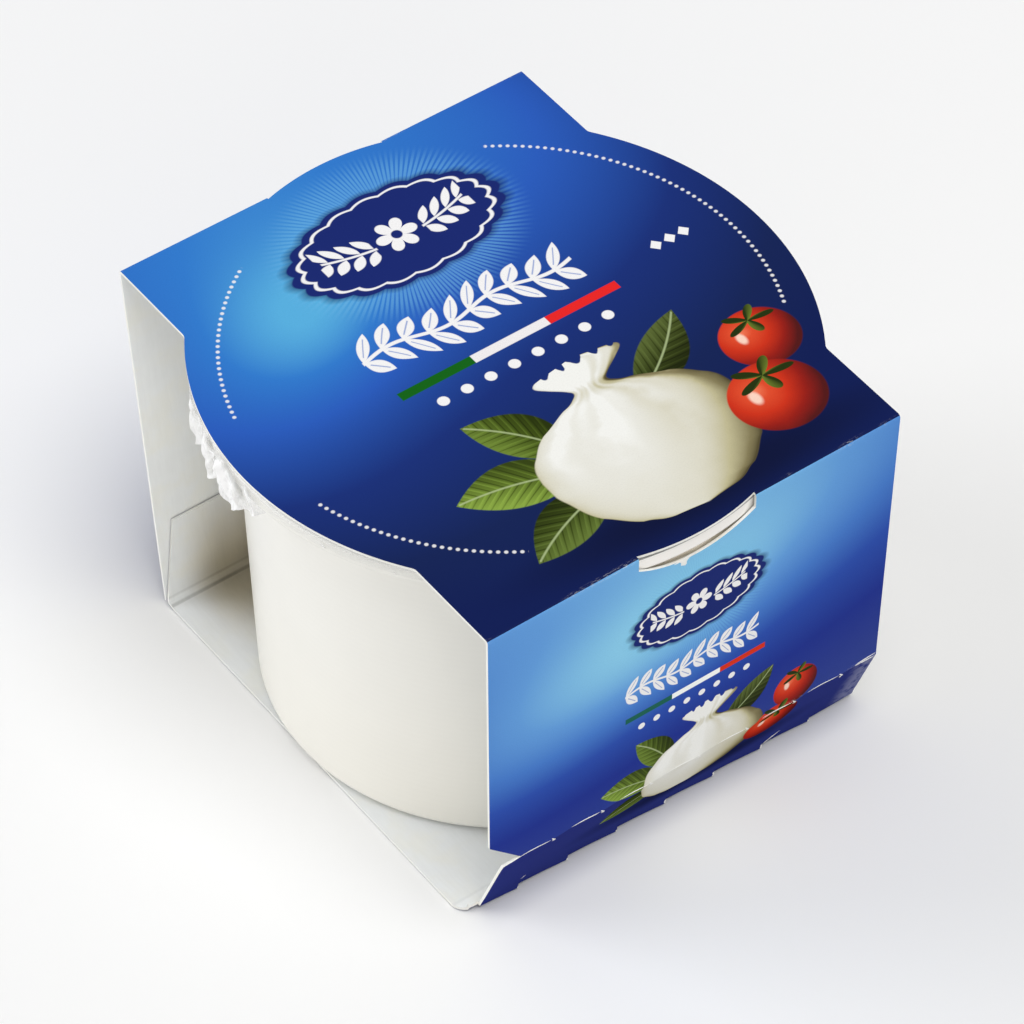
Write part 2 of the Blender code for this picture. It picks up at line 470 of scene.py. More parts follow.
@dataclass
class Sleeve:
    """The board sleeve: one blank, cut, creased, folded round the tub and glued at the back."""

    height: float
    board: float = 0.45 * MM
    glue_line: float = 0.10 * MM
    top_depth: float = 93.0 * MM
    width: float = 74.6 * MM
    base_depth: float = 79.6 * MM
    fold_radius: float = 0.6 * MM
    strip_height: float = 15.3 * MM
    front_lean: float = 0.8 * MM
    strip_narrowing: float = 3.2 * MM
    notch_reach: float = 6.6 * MM
    notch_rise: float = 6.0 * MM
    wall_taper: float = 0.7 * MM
    arc_radius: float = 49.7 * MM
    arc_offset: float = 3.0 * MM
    arc_fillet: float = 1.5 * MM
    slot_half_width: float = 10.6 * MM
    slot_end_height: float = 3.0 * MM
    slot_depth: float = 5.9 * MM
    tab_bulge: float = 1.5 * MM
    flap_height: float = 16.3 * MM
    flap_slant: float = 2.8 * MM
    back_wall_lift: float = 0.4 * MM
    base_corner: float = 3.0 * MM
    row_step: float = 1.5 * MM
    cut_pitch: float = 9.3 * MM
    first_cut: float = -27.4 * MM
    cut_count: int = 7
    cut_depth: float = 0.45 * MM
    curl_width: float = 2.4 * MM
    curl_rise: float = 0.42 * MM
    flare_reach: float = 2.2 * MM
    path: FoldedPath = field(init=False)

    def __post_init__(self) -> None:
        """Folds the side view."""
        half_top = self.top_depth / 2
        half_base = self.base_depth / 2
        lean = (half_top - half_base) / self.height
        inner = half_base - self.board - self.glue_line
        corners = [
            (inner + lean * self.flap_height, self.flap_height),
            (inner, 0.0),
            (-half_base, 0.0),
            (-half_top + self.front_lean, self.strip_height),
            (-half_top, self.height),
            (half_top, self.height),
            (half_base + lean * self.back_wall_lift, self.back_wall_lift),
        ]
        self.path = FoldedPath(np.array(corners), self.fold_radius)

    @property
    def top_middle(self) -> float:
        """The s of the middle of the top panel."""
        low, high = self.path.panel_ends(Panel.TOP)
        return (low + high) / 2

    @property
    def fillet(self) -> tuple[float, float, float]:
        """Where the top panel's arc meets its edges.

        A fillet circle touches the wide arc and the straight edge, so its centre is fillet_x
        from the middle line and arc_radius + arc_fillet from the arc's centre.

        Returns:
            The x of the fillet's centre, its distance from the panel's middle along s, and the
            distance at which it touches the arc.
        """
        centre_x = self.width / 2 + self.arc_fillet
        reach = self.arc_radius + self.arc_fillet
        centre_v = sqrt(reach**2 - (centre_x + self.arc_offset) ** 2)
        return centre_x, centre_v, centre_v * self.arc_radius / reach

    @property
    def cut_places(self) -> np.ndarray:
        """The x at which each cut along the lower fold of the tear strip ends."""
        return self.first_cut + self.cut_pitch * np.arange(self.cut_count)

    def side(self, s: np.ndarray, notched: bool) -> np.ndarray:
        """The half width of the blank at distances s.

        Straight runs between the cut corners; on the top panel a wide arc, x = sqrt(R^2 - v^2)
        less its offset, that a small fillet joins to the straight edges, with v the distance
        from the panel's middle.

        Args:
            s: distances along the blank.
            notched: whether the side has the thumb notch and the rounded corner.

        Returns:
            One half width for each distance.
        """
        half = self.width / 2
        low_half = half - self.wall_taper
        base_back = self.path.fold_middle(Panel.BASE)
        base_front = self.path.fold_middle(Panel.STRIP)
        strip_top = self.path.fold_middle(Panel.FRONT)
        wall_top = self.path.panel_ends(Panel.TOP)[0]
        marks = [(0.0, half - self.flap_slant), (base_back, half)]
        if notched:
            corner = self.base_corner
            marks += [(base_front - corner, half)]
            turns = np.linspace(0, pi / 2, 9)[1:]
            marks += [
                (base_front - corner + corner * sin(a), half - corner + corner * cos(a)) for a in turns
            ]
            marks += [(strip_top - HAIR, half - self.strip_narrowing)]
            marks += [(strip_top + HAIR, half - self.notch_reach)]
            marks += [(strip_top + self.notch_rise, low_half)]
        else:
            marks += [(base_front, half), (strip_top, low_half)]
        marks += [(wall_top, half), (self.path.length, half)]
        places, widths = np.array(marks).T
        straight = np.interp(s, places, widths)

        v = np.abs(s - self.top_middle)
        fillet_x, fillet_v, touch = self.fillet
        wide = np.sqrt(np.clip(self.arc_radius**2 - v**2, 0, None)) - self.arc_offset
        small = fillet_x - np.sqrt(np.clip(self.arc_fillet**2 - (fillet_v - v) ** 2, 0, None))
        return np.where(v <= touch, wide, np.where(v < fillet_v, small, straight))

    def row_places(self) -> np.ndarray:
        """The rows of the grid: even on panels, close at folds, cuts and fillets.

        Returns:
            The s of each row, in order.
        """
        runs = []
        for panel in Panel:
            low, high = self.path.panel_ends(panel)
            runs.append(np.linspace(low, high, int((high - low) / self.row_step) + 2))
            if panel != Panel.FLAP:
                runs.append(np.linspace(*self.path.fold_ends(panel), 7))
        base_front = self.path.fold_middle(Panel.STRIP)
        strip_top = self.path.fold_middle(Panel.FRONT)
        base_back = self.path.fold_middle(Panel.BASE)
        corner_turns = np.linspace(0, pi / 2, 9)
        runs.append(base_front - self.base_corner * (1 - np.sin(corner_turns)))
        runs.append(base_front - self.curl_width + np.array([-0.5, -0.2, 0.0, 0.2, 0.5]) * MM)
        runs.append(base_front + np.array([0.6, 1.0, 1.5, 2.1]) * MM)
        runs.append(base_back + np.array([-1.8, -1.4, -1.0, 1.0, 1.4, 1.8]) * MM)
        runs.append(strip_top + np.array([-1.6, -1.1, -0.7, 0.7, 1.1, 1.6]) * MM)
        runs.append(strip_top + np.array([-HAIR, HAIR]))
        _, fillet_v, touch = self.fillet
        turns = np.linspace(0, 1, 7) ** 2
        for side in (-1, 1):
            runs.append(self.top_middle + side * (fillet_v - (fillet_v - touch) * turns))
        front_fold, back_fold = self.path.panel_ends(Panel.TOP)
        runs.append([front_fold - self.slot_end_height, back_fold + self.slot_end_height])
        rows = np.sort(np.concatenate(runs))
        return rows[np.concatenate([[True], np.diff(rows) > 2e-6])]

    def column_shares(self) -> tuple[np.ndarray, np.ndarray, np.ndarray]:
        """The columns left of, between and right of the slots' ends.

        Returns:
            Shares from slot end to edge on the left, x between the ends, and shares on the right.
        """
        slot = self.slot_half_width
        step = 0.9 * MM
        hair = 0.06 * MM
        low = self.width / 2 - self.base_corner
        cuts = self.cut_places
        pairs = np.sort(np.concatenate([cuts - hair, cuts + hair]))
        middle = np.linspace(-slot, slot, 25)
        middle = np.union1d(middle, pairs[np.abs(pairs) < slot])
        shares = np.linspace(0, 1, int((self.width / 2 - slot) / step) + 2)
        left = np.union1d(shares, (-pairs[pairs < -slot] - slot) / (low - slot))
        right = np.union1d(shares, (pairs[pairs > slot] - slot) / (self.width / 2 - slot))
        return left[::-1], middle, right

    def bow(self, x: np.ndarray, rise: float) -> np.ndarray:
        """A circular arc over the slot's width, rise high in the middle and 0 at its ends.

        With the chord c and radius (c^2 + rise^2) / 2 rise, it is sqrt(radius^2 - x^2) less
        radius - rise.

        Args:
            x: across, for each point.
            rise: the arc's height.

        Returns:
            One height for each point.
        """
        chord = self.slot_half_width
        radius = (chord**2 + rise**2) / (2 * rise)
        curve = np.sqrt(np.clip(radius**2 - x**2, 0, None)) - (radius - rise)
        return np.where(np.abs(x) < chord, np.clip(curve, 0, None), 0.0)

    def warp_at_slot(self, x: np.ndarray, s: np.ndarray, fold: float, down: int) -> tuple:
        """Bends the rows beside a slot along its two curved edges.

        The wall's rows are pushed down by the wall edge's arc, fading out away from it, and the
        top panel's first rows are pulled out by the tab's arc and stay in the panel's plane.

        Args:
            x: across, for each point of the grid.
            s: along, for each point of the grid.
            fold: the s at which the top panel stops being flat.
            down: +1 or -1, the way along s that leads down the wall.

        Returns:
            The new s, and a mask of the points held in the top panel's plane.
        """
        fade = 12 * MM
        beyond = (s - fold) * down
        wall_rise = self.bow(x, self.slot_depth - self.slot_end_height)
        tab_rise = self.bow(x, self.tab_bulge)
        low = self.slot_end_height
        on_wall = beyond >= low - 1e-7
        wall_share = np.clip(1 - (beyond - low) / fade, 0, 1) * on_wall
        on_top = beyond <= 1e-7
        top_share = np.clip(1 + beyond / fade, 0, 1) * on_top
        moved = s + down * (wall_rise * wall_share + tab_rise * top_share)
        held = on_top & (tab_rise > 0) & (top_share > 0)
        return moved, held

    def tooth(self, x: np.ndarray) -> np.ndarray:
        """How far the torn edge stands out: it grows along each cut and drops at its end.

        With the share u of the way along its cut, a tooth is 0.05 + 0.95 u^1.5.

        Args:
            x: across, for each point.

        Returns:
            A share of the cut's depth for each point.
        """
        cell = (x - self.first_cut) / self.cut_pitch
        share = np.where(cell < 0, np.clip(cell + 1, 0, 1), cell - np.floor(cell))
        return np.where(cell < self.cut_count - 1, 0.05 + 0.95 * share**1.5, 0.3)

    def lift(self, x: np.ndarray, s: np.ndarray) -> np.ndarray:
        """How far the board stands off its ideal face, outwards.

        Each wall bows by a product of two half sine waves, the base rises inside its front
        crease in a straight line to the fold, and the flap's foot carries a pressed bead.

        Args:
            x: across, for each point.
            s: along, for each point.

        Returns:
            One height for each point.
        """
        half = self.width / 2
        across = np.cos(pi * np.clip(x / half, -1, 1) / 2)
        height = np.zeros_like(x)
        for panel, bulge in ((Panel.FRONT, 0.22), (Panel.BACK, 0.30), (Panel.TOP, 0.08)):
            low, high = self.path.panel_ends(panel)
            share = np.clip((s - low) / (high - low), 0, 1)
            height += bulge * MM * across * np.sin(pi * share)
        base_front = self.path.fold_middle(Panel.STRIP)
        curl_from = base_front - self.curl_width
        low, high = self.path.panel_ends(Panel.STRIP)
        curled = np.clip((s - curl_from) / self.curl_width, 0, 1) * (s < low)
        height -= self.curl_rise * curled
        foot = (s - self.path.fold_middle(Panel.BASE) - 0.2 * MM) / (1.3 * MM)
        height -= 0.42 * MM * np.clip(1 - foot**2, 0, 1)
        low, high = self.path.fold_ends(Panel.FRONT)
        wave = np.sin(x * 2 * pi / (9.1 * MM)) * np.exp(-(((s - high) / (1.1 * MM)) ** 2))
        return height + 0.07 * MM * wave

    def shape_lower_fold(self, x: np.ndarray, s: np.ndarray, points: np.ndarray) -> np.ndarray:
        """Lets the torn edge of the strip flare out and down at the lower fold.

        Args:
            x: across, for each point.
            s: along, for each point.
            points: the (y, z) of each point.

        Returns:
            The new (y, z) of each point.
        """
        low, high = self.path.fold_ends(Panel.STRIP)
        away = np.abs(s - (low + high) / 2 - 0.2 * MM)
        near = np.clip(1 - away / self.flare_reach, 0, 1)
        near = np.where(s < low, near**2, near)
        raised = self.curl_rise * np.clip(1 - (s - low) / (4 * MM), 0, 1) * (s >= low)
        flare = self.cut_depth * self.tooth(x) * near
        y = points[..., 0] - 1.1 * flare
        z = np.maximum(points[..., 1] + raised - 0.7 * flare, 0.0)
        return np.stack([y, z], axis=-1)

    def surface(
        self, x: np.ndarray, s: np.ndarray, held: np.ndarray | None = None
    ) -> tuple[np.ndarray, np.ndarray]:
        """The folded board's outer face.

        Args:
            x: across, for each point.
            s: along, for each point.
            held: as in FoldedPath.place.

        Returns:
            (..., 3) points and outward normals.
        """
        points, normals = self.path.place(s, held)
        points = points + normals * self.lift(x, s)[..., None]
        points = self.shape_lower_fold(x, s, points)
        flat = np.zeros_like(x)
        return (
            np.stack([x, points[..., 0], points[..., 1]], axis=-1),
            np.stack([flat, normals[..., 0], normals[..., 1]], axis=-1),
        )

    def build(self) -> bpy.types.Object:
        """Lays the grid on the blank, cuts the slots out of it and folds it.

        Returns:
            The outer face of the sleeve, with the blank's layout as its UV map.
        """
        rows = self.row_places()
        left, middle, right = self.column_shares()
        slot = self.slot_half_width
        left_half = self.side(rows, notched=True)[:, None]
        right_half = self.side(rows, notched=False)[:, None]
        x = np.concatenate(
            [
                -(slot + left[None, :-1] * (left_half - slot)),
                np.broadcast_to(middle, (len(rows), len(middle))),
                slot + right[None, 1:] * (right_half - slot),
            ],
            axis=1,
        )
        s = np.broadcast_to(rows[:, None], x.shape).copy()
        front_fold, back_fold = self.path.panel_ends(Panel.TOP)
        s, held_front = self.warp_at_slot(x, s, front_fold, -1)
        s, held_back = self.warp_at_slot(x, s, back_fold, 1)
        held = np.where(held_front | held_back, 2 * int(Panel.TOP), -1)
        points, _ = self.surface(x, s, held)
        places = points.reshape(-1, 3)

        faces = grid_faces(*x.shape)
        keep = np.ones(len(faces), bool)
        row = np.repeat(np.arange(x.shape[0] - 1), x.shape[1] - 1)
        column_x = (x[:-1, :-1] + x[:-1, 1:]).reshape(-1) / 2
        row_s = ((rows[:-1] + rows[1:]) / 2)[row]
        for low, high in (
            (front_fold - self.slot_end_height, front_fold),
            (back_fold, back_fold + self.slot_end_height),
        ):
            keep &= ~((row_s > low) & (row_s < high) & (np.abs(column_x) < slot))
        faces = faces[keep]
        used = np.zeros(len(places), bool)
        used[faces.reshape(-1)] = True
        renumber = np.cumsum(used) - 1
        sleeve = mesh_piece("sleeve_board", places[used], renumber[faces])
        layout = sleeve.data.uv_layers.new(name="blank")
        flat = np.stack([x.reshape(-1), s.reshape(-1)], axis=-1)[used] / UV_LENGTH
        corner = np.zeros(len(sleeve.data.loops), int)
        sleeve.data.loops.foreach_get("vertex_index", corner)
        layout.data.foreach_set("uv", flat[corner].reshape(-1).astype(np.float32))
        sleeve.data.shade_smooth()
        return sleeve

    def dress(self, sleeve: bpy.types.Object, finishes: Sequence[bpy.types.Material]) -> None:
        """Gives the board its finishes and its thickness.

        Args:
            sleeve: the folded outer face.
            finishes: the printed face, the inner face and the cut edge.
        """
        for finish in finishes:
            sleeve.data.materials.append(finish)
        wall = sleeve.modifiers.new("board", "SOLIDIFY")
        wall.thickness = self.board
        wall.offset = -1.0
        wall.use_even_offset = True
        wall.use_rim = True
        wall.material_offset = 1
        wall.material_offset_rim = 2
        sharp = sleeve.modifiers.new("cut_edges", "EDGE_SPLIT")
        sharp.split_angle = radians(50)
        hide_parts("sleeve")


@dataclass(frozen=True)
class Tear:
    """One torn or cut line in the board: a path on the blank and the white core it bares.

    Both ends taper; the width wanders by a share of itself.
    """

    path: tuple[tuple[float, float], ...]
    width: float
    lift: float = 0.05 * MM
    wander: float = 0.25
    blunt: bool = False


@dataclass
class TornCuts:
    """White torn fibre along the tear strip's cuts and at the slot's nick, as raised ribbons."""

    sleeve: Sleeve
    step: float = 0.12 * MM
    first_hook: float = -25.1 * MM
    hook_pitch: float = 9.1 * MM
    seed: int = 23

    def upper_cuts(self, rng: np.random.Generator) -> list[Tear]:
        """The cuts along the strip's upper fold, each ending in a hook that turns down.

        Args:
            rng: the seeded source of chance.

        Returns:
            The tears.
        """
        fold = self.sleeve.path.fold_middle(Panel.FRONT)
        tears = []
        for order in range(self.sleeve.cut_count):
            end = self.first_hook + self.hook_pitch * order
            start = end - rng.uniform(5.4, 7.0) * MM
            high = rng.uniform(-0.05, 0.12) * MM
            wide = rng.uniform(0.20, 0.30) * MM
            path = ((start, fold + high), ((start + end) / 2, fold + 0.10 * MM), (end, fold))
            tears.append(Tear(path, wide, 0.07 * MM))
            hook = ((end - 0.1 * MM, fold + 0.30 * MM), (end + 0.95 * MM, fold - 1.05 * MM))
            tears.append(Tear(hook, 0.34 * MM, 0.08 * MM))
            barb = ((end + 0.1 * MM, fold - 0.80 * MM), (end + 0.95 * MM, fold - 0.95 * MM))
            tears.append(Tear(barb, 0.26 * MM, 0.08 * MM))
        return tears

    def loose_end(self) -> list[Tear]:
        """The two lips of the strip's open right end, and the round dot before it.

        Returns:
            The tears.
        """
        fold = self.sleeve.path.fold_middle(Panel.FRONT)
        edge = self.sleeve.width / 2 - 0.75 * MM
        upper = ((32.4 * MM, fold + 0.1 * MM), (34.6 * MM, fold + 0.25 * MM), (edge, fold + 0.45 * MM))
        lower = ((32.4 * MM, fold - 0.1 * MM), (34.6 * MM, fold - 0.20 * MM), (edge, fold - 0.35 * MM))
        dot = ((29.75 * MM, fold - 1.3 * MM), (30.25 * MM, fold - 1.3 * MM))
        return [
            Tear(upper, 0.22 * MM, 0.10 * MM),
            Tear(lower, 0.26 * MM, 0.12 * MM),
            Tear(dot, 0.55 * MM, 0.06 * MM, 0.1, blunt=True),
        ]

    def lower_tears(self, rng: np.random.Generator) -> list[Tear]:
        """Torn fibre along the saw-toothed lower fold, longest where a tooth ends.

        Args:
            rng: the seeded source of chance.

        Returns:
            The tears.
        """
        fold = self.sleeve.path.fold_middle(Panel.STRIP)
        tears = []
        for order, place in enumerate(self.sleeve.cut_places):
            start = place - rng.uniform(3.0, 5.5) * MM
            path = ((start, fold + 0.30 * MM), (place - 0.2 * MM, fold + 0.15 * MM))
            tears.append(Tear(path, rng.uniform(0.14, 0.24) * MM, 0.05 * MM, 0.5))
            long = 1.0 if order in (3, 4, 5) else 0.6
            bit = ((place - 0.15 * MM, fold + long * 1.5 * MM), (place + 0.1 * MM, fold - 0.1 * MM))
            tears.append(Tear(bit, (0.2 + 0.3 * long) * MM, 0.09 * MM, 0.5))
        slit = ((19.6 * MM, fold + 0.1 * MM), (21.0 * MM, fold + 1.9 * MM), (22.4 * MM, fold + 3.1 * MM))
        tears.append(Tear(slit, 0.30 * MM, 0.08 * MM, 0.4))
        scuff = ((-27.4 * MM, fold + 3.2 * MM), (-26.6 * MM, fold + 4.0 * MM))
        tears.append(Tear(scuff, 0.22 * MM, 0.03 * MM, 0.6))
        return tears

    def slot_nick(self) -> list[Tear]:
        """The torn nick that hangs from the middle of the slot's lower edge.

        Returns:
            The tears.
        """
        sleeve = self.sleeve
        x = -2.3 * MM
        fold = sleeve.path.panel_ends(Panel.TOP)[0]
        rise = float(sleeve.bow(np.array([x]), sleeve.slot_depth - sleeve.slot_end_height)[0])
        edge = fold - sleeve.slot_end_height - rise
        point = (x + 0.25 * MM, edge - 1.35 * MM)
        wide = ((x - 0.7 * MM, edge + 0.35 * MM), (x - 0.1 * MM, edge - 0.55 * MM), point)
        side = ((x + 1.3 * MM, edge + 0.30 * MM), (x + 0.3 * MM, edge - 0.15 * MM), (x, edge - 1.0 * MM))
        flat = ((x - 2.0 * MM, edge + 0.05 * MM), (x + 2.2 * MM, edge + 0.10 * MM))
        return [
            Tear(wide, 1.1 * MM, 0.14 * MM, 0.3),
            Tear(side, 0.8 * MM, 0.10 * MM, 0.3),
            Tear(flat, 0.5 * MM, 0.10 * MM, 0.3),
        ]

    def ribbon(self, tear: Tear, rng: np.random.Generator) -> tuple[np.ndarray, np.ndarray]:
        """The points and faces of one tear.

        Along the path the half width is w sqrt(sin) of the share along it, with wander; across
        it the height is lift (1 - a^2), with a from -1 to 1.

        Args:
            tear: the tear.
            rng: the seeded source of chance.

        Returns:
            Points and faces.
        """
        corners = np.array(tear.path)
        legs = np.hypot(*np.diff(corners, axis=0).T)
        along = np.concatenate([[0.0], np.cumsum(legs)])
        count = max(int(along[-1] / self.step), 6)
        at = np.linspace(0, along[-1], count)
        x = np.interp(at, along, corners[:, 0])
        s = np.interp(at, along, corners[:, 1])
        heading = np.arctan2(np.gradient(s), np.gradient(x))
        share = np.linspace(0, 1, count)
        taper = np.sin(pi * share) ** (0.5 if tear.blunt else 0.6)
        rough = 1 + tear.wander * smooth_noise(rng, at, 1.3 * MM)
        half = tear.width / 2 * np.maximum(taper * rough, 0.04)
        shift = tear.wander * 0.25 * tear.width * smooth_noise(rng, at, 0.9 * MM)
        across = np.linspace(-1, 1, 7)
        offset = half[:, None] * across + shift[:, None]
        x_grid = x[:, None] - np.sin(heading)[:, None] * offset
        s_grid = s[:, None] + np.cos(heading)[:, None] * offset
        points, normals = self.sleeve.surface(x_grid, s_grid)
        grain = 1 + 0.35 * rng.uniform(-1, 1, x_grid.shape)
        height = tear.lift * (1 - across**2) * taper[:, None] * grain - 0.015 * MM
        return (points + normals * height[..., None]).reshape(-1, 3), grid_faces(count, 7)

    def build(self, finish: bpy.types.Material) -> bpy.types.Object:
        """Joins every tear into one piece.

        Args:
            finish: the torn fibre.

        Returns:
            The piece.
        """
        rng = np.random.default_rng(self.seed)
        tears = self.upper_cuts(rng) + self.loose_end() + self.lower_tears(rng) + self.slot_nick()
        points, faces, used = [], [], 0
        for tear in tears:
            places, quads = self.ribbon(tear, rng)
            points.append(places)
            faces.append(quads[:, ::-1] + used)
            used += len(places)
        torn = mesh_piece("torn_cuts", np.concatenate(points), np.concatenate(faces))
        torn.data.materials.append(finish)
        return torn


# ---------------------------------------------------------------------------------------------
# The tub and its film
# ---------------------------------------------------------------------------------------------


def arc_points(
    centre: tuple[float, float], radius: float, start: float, end: float, steps: int
) -> np.ndarray:
    """Points on an arc from the angle start to the angle end, both included."""
    turns = np.linspace(start, end, steps + 1)
    return np.array(centre) + radius * np.stack([np.cos(turns), np.sin(turns)], axis=1)


def revolved(r: np.ndarray, z: np.ndarray, angle: np.ndarray) -> np.ndarray:
    """Rings about Z: the point of radius r and height z at the angle a is (r cos a, r sin a, z).

    Args:
        r: one radius for each ring, or one for each ring and angle.
        z: the heights, in the same form.
        angle: the angle of each column.

    Returns:
        (rings, angles, 3) points.
    """
    if r.ndim == 1:
        r, z = r[:, None], z[:, None]
    return np.stack(np.broadcast_arrays(r * np.cos(angle), r * np.sin(angle), z), axis=-1)


def turned(profile: np.ndarray, turns: int) -> tuple[np.ndarray, np.ndarray]:
    """A closed body of revolution about Z.

    The point of profile place (r, z) at the angle a is (r cos a, r sin a, z). The profile runs
    from the axis below to the axis above, so the faces look outwards.

    Args:
        profile: (n, 2) radii and heights, the first and last radius 0.
        turns: number of steps round the axis.

    Returns:
        Points and faces.
    """
    angle = np.linspace(0, 2 * pi, turns, endpoint=False)
    r, z = profile[1:-1].T
    ring = revolved(r, z, angle).reshape(-1, 3)
    faces = grid_faces(len(r), turns, ring=True)
    poles = np.array([[0.0, 0.0, profile[0, 1]], [0.0, 0.0, profile[-1, 1]]])
    low, high = len(ring), len(ring) + 1
    here = np.arange(turns)
    after = (here + 1) % turns
    last = (len(r) - 1) * turns
    bottom = np.stack([after, here, np.full(turns, low), np.full(turns, low)], axis=1)
    top = np.stack([last + here, last + after, np.full(turns, high), np.full(turns, high)], axis=1)
    return np.concatenate([ring, poles]), np.concatenate([faces, bottom, top])


@dataclass
class Tub:
    """The moulded tub: a rounded base, a drafted wall, and a flat rim with a lip turned down."""

    rim_radius: float
    top: float
    base: float
    top_radius: float = 40.5 * MM
    base_radius: float = 38.6 * MM
    base_round: float = 2.3 * MM
    rim_thickness: float = 1.4 * MM
    lip: float = 2.6 * MM
    lip_width: float = 1.1 * MM
    lip_round: float = 0.2 * MM
    rim_round: float = 0.5 * MM
    inner_round: float = 1.2 * MM
    turns: int = 288

    def profile(self) -> np.ndarray:
        """The tub's outline: base, base round, wall, under the rim, lip, rim and top.

        Returns:
            (n, 2) radii and heights, from the middle of the base to the middle of the top.
        """
        under = self.top - self.rim_thickness
        lip_bottom = self.top - self.lip
        inside = self.rim_radius - self.lip_width
        base_centre = (self.base_radius - self.base_round, self.base + self.base_round)
        parts = [
            np.array([[0.0, self.base], [self.base_radius * 0.5, self.base]]),
            arc_points(base_centre, self.base_round, -pi / 2, 0.0, 12),
        ]
        start = parts[-1][-1]
        wall_top = np.array([self.top_radius, under - self.inner_round])
        parts.append(np.linspace(start, wall_top, 24)[1:])
        corner = (self.top_radius + self.inner_round, under - self.inner_round)
        parts.append(arc_points(corner, self.inner_round, pi, pi / 2, 6)[1:])
        parts.append(np.array([[inside, under], [inside, lip_bottom + self.lip_round]]))
        lip_in = (inside + self.lip_round, lip_bottom + self.lip_round)
        parts.append(arc_points(lip_in, self.lip_round, pi, 1.5 * pi, 3)[1:])
        lip_out = (self.rim_radius - self.lip_round, lip_bottom + self.lip_round)
        parts.append(arc_points(lip_out, self.lip_round, -pi / 2, 0.0, 3))
        rim_centre = (self.rim_radius - self.rim_round, self.top - self.rim_round)
        parts.append(arc_points(rim_centre, self.rim_round, 0.0, pi / 2, 6))
        parts.append(np.array([[self.rim_radius * 0.5, self.top], [0.0, self.top]]))
        return np.concatenate(parts)

    def build(self, finish: bpy.types.Material) -> bpy.types.Object:
        """Turns the tub and gives it its plastic.

        Args:
            finish: the plastic.

        Returns:
            The piece.
        """
        places, faces = turned(self.profile(), self.turns)
        tub = mesh_piece("moulded_tub", places, faces)
        tub.data.materials.append(finish)
        sharpen(tub, radians(40))
        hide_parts("tub")
        return tub


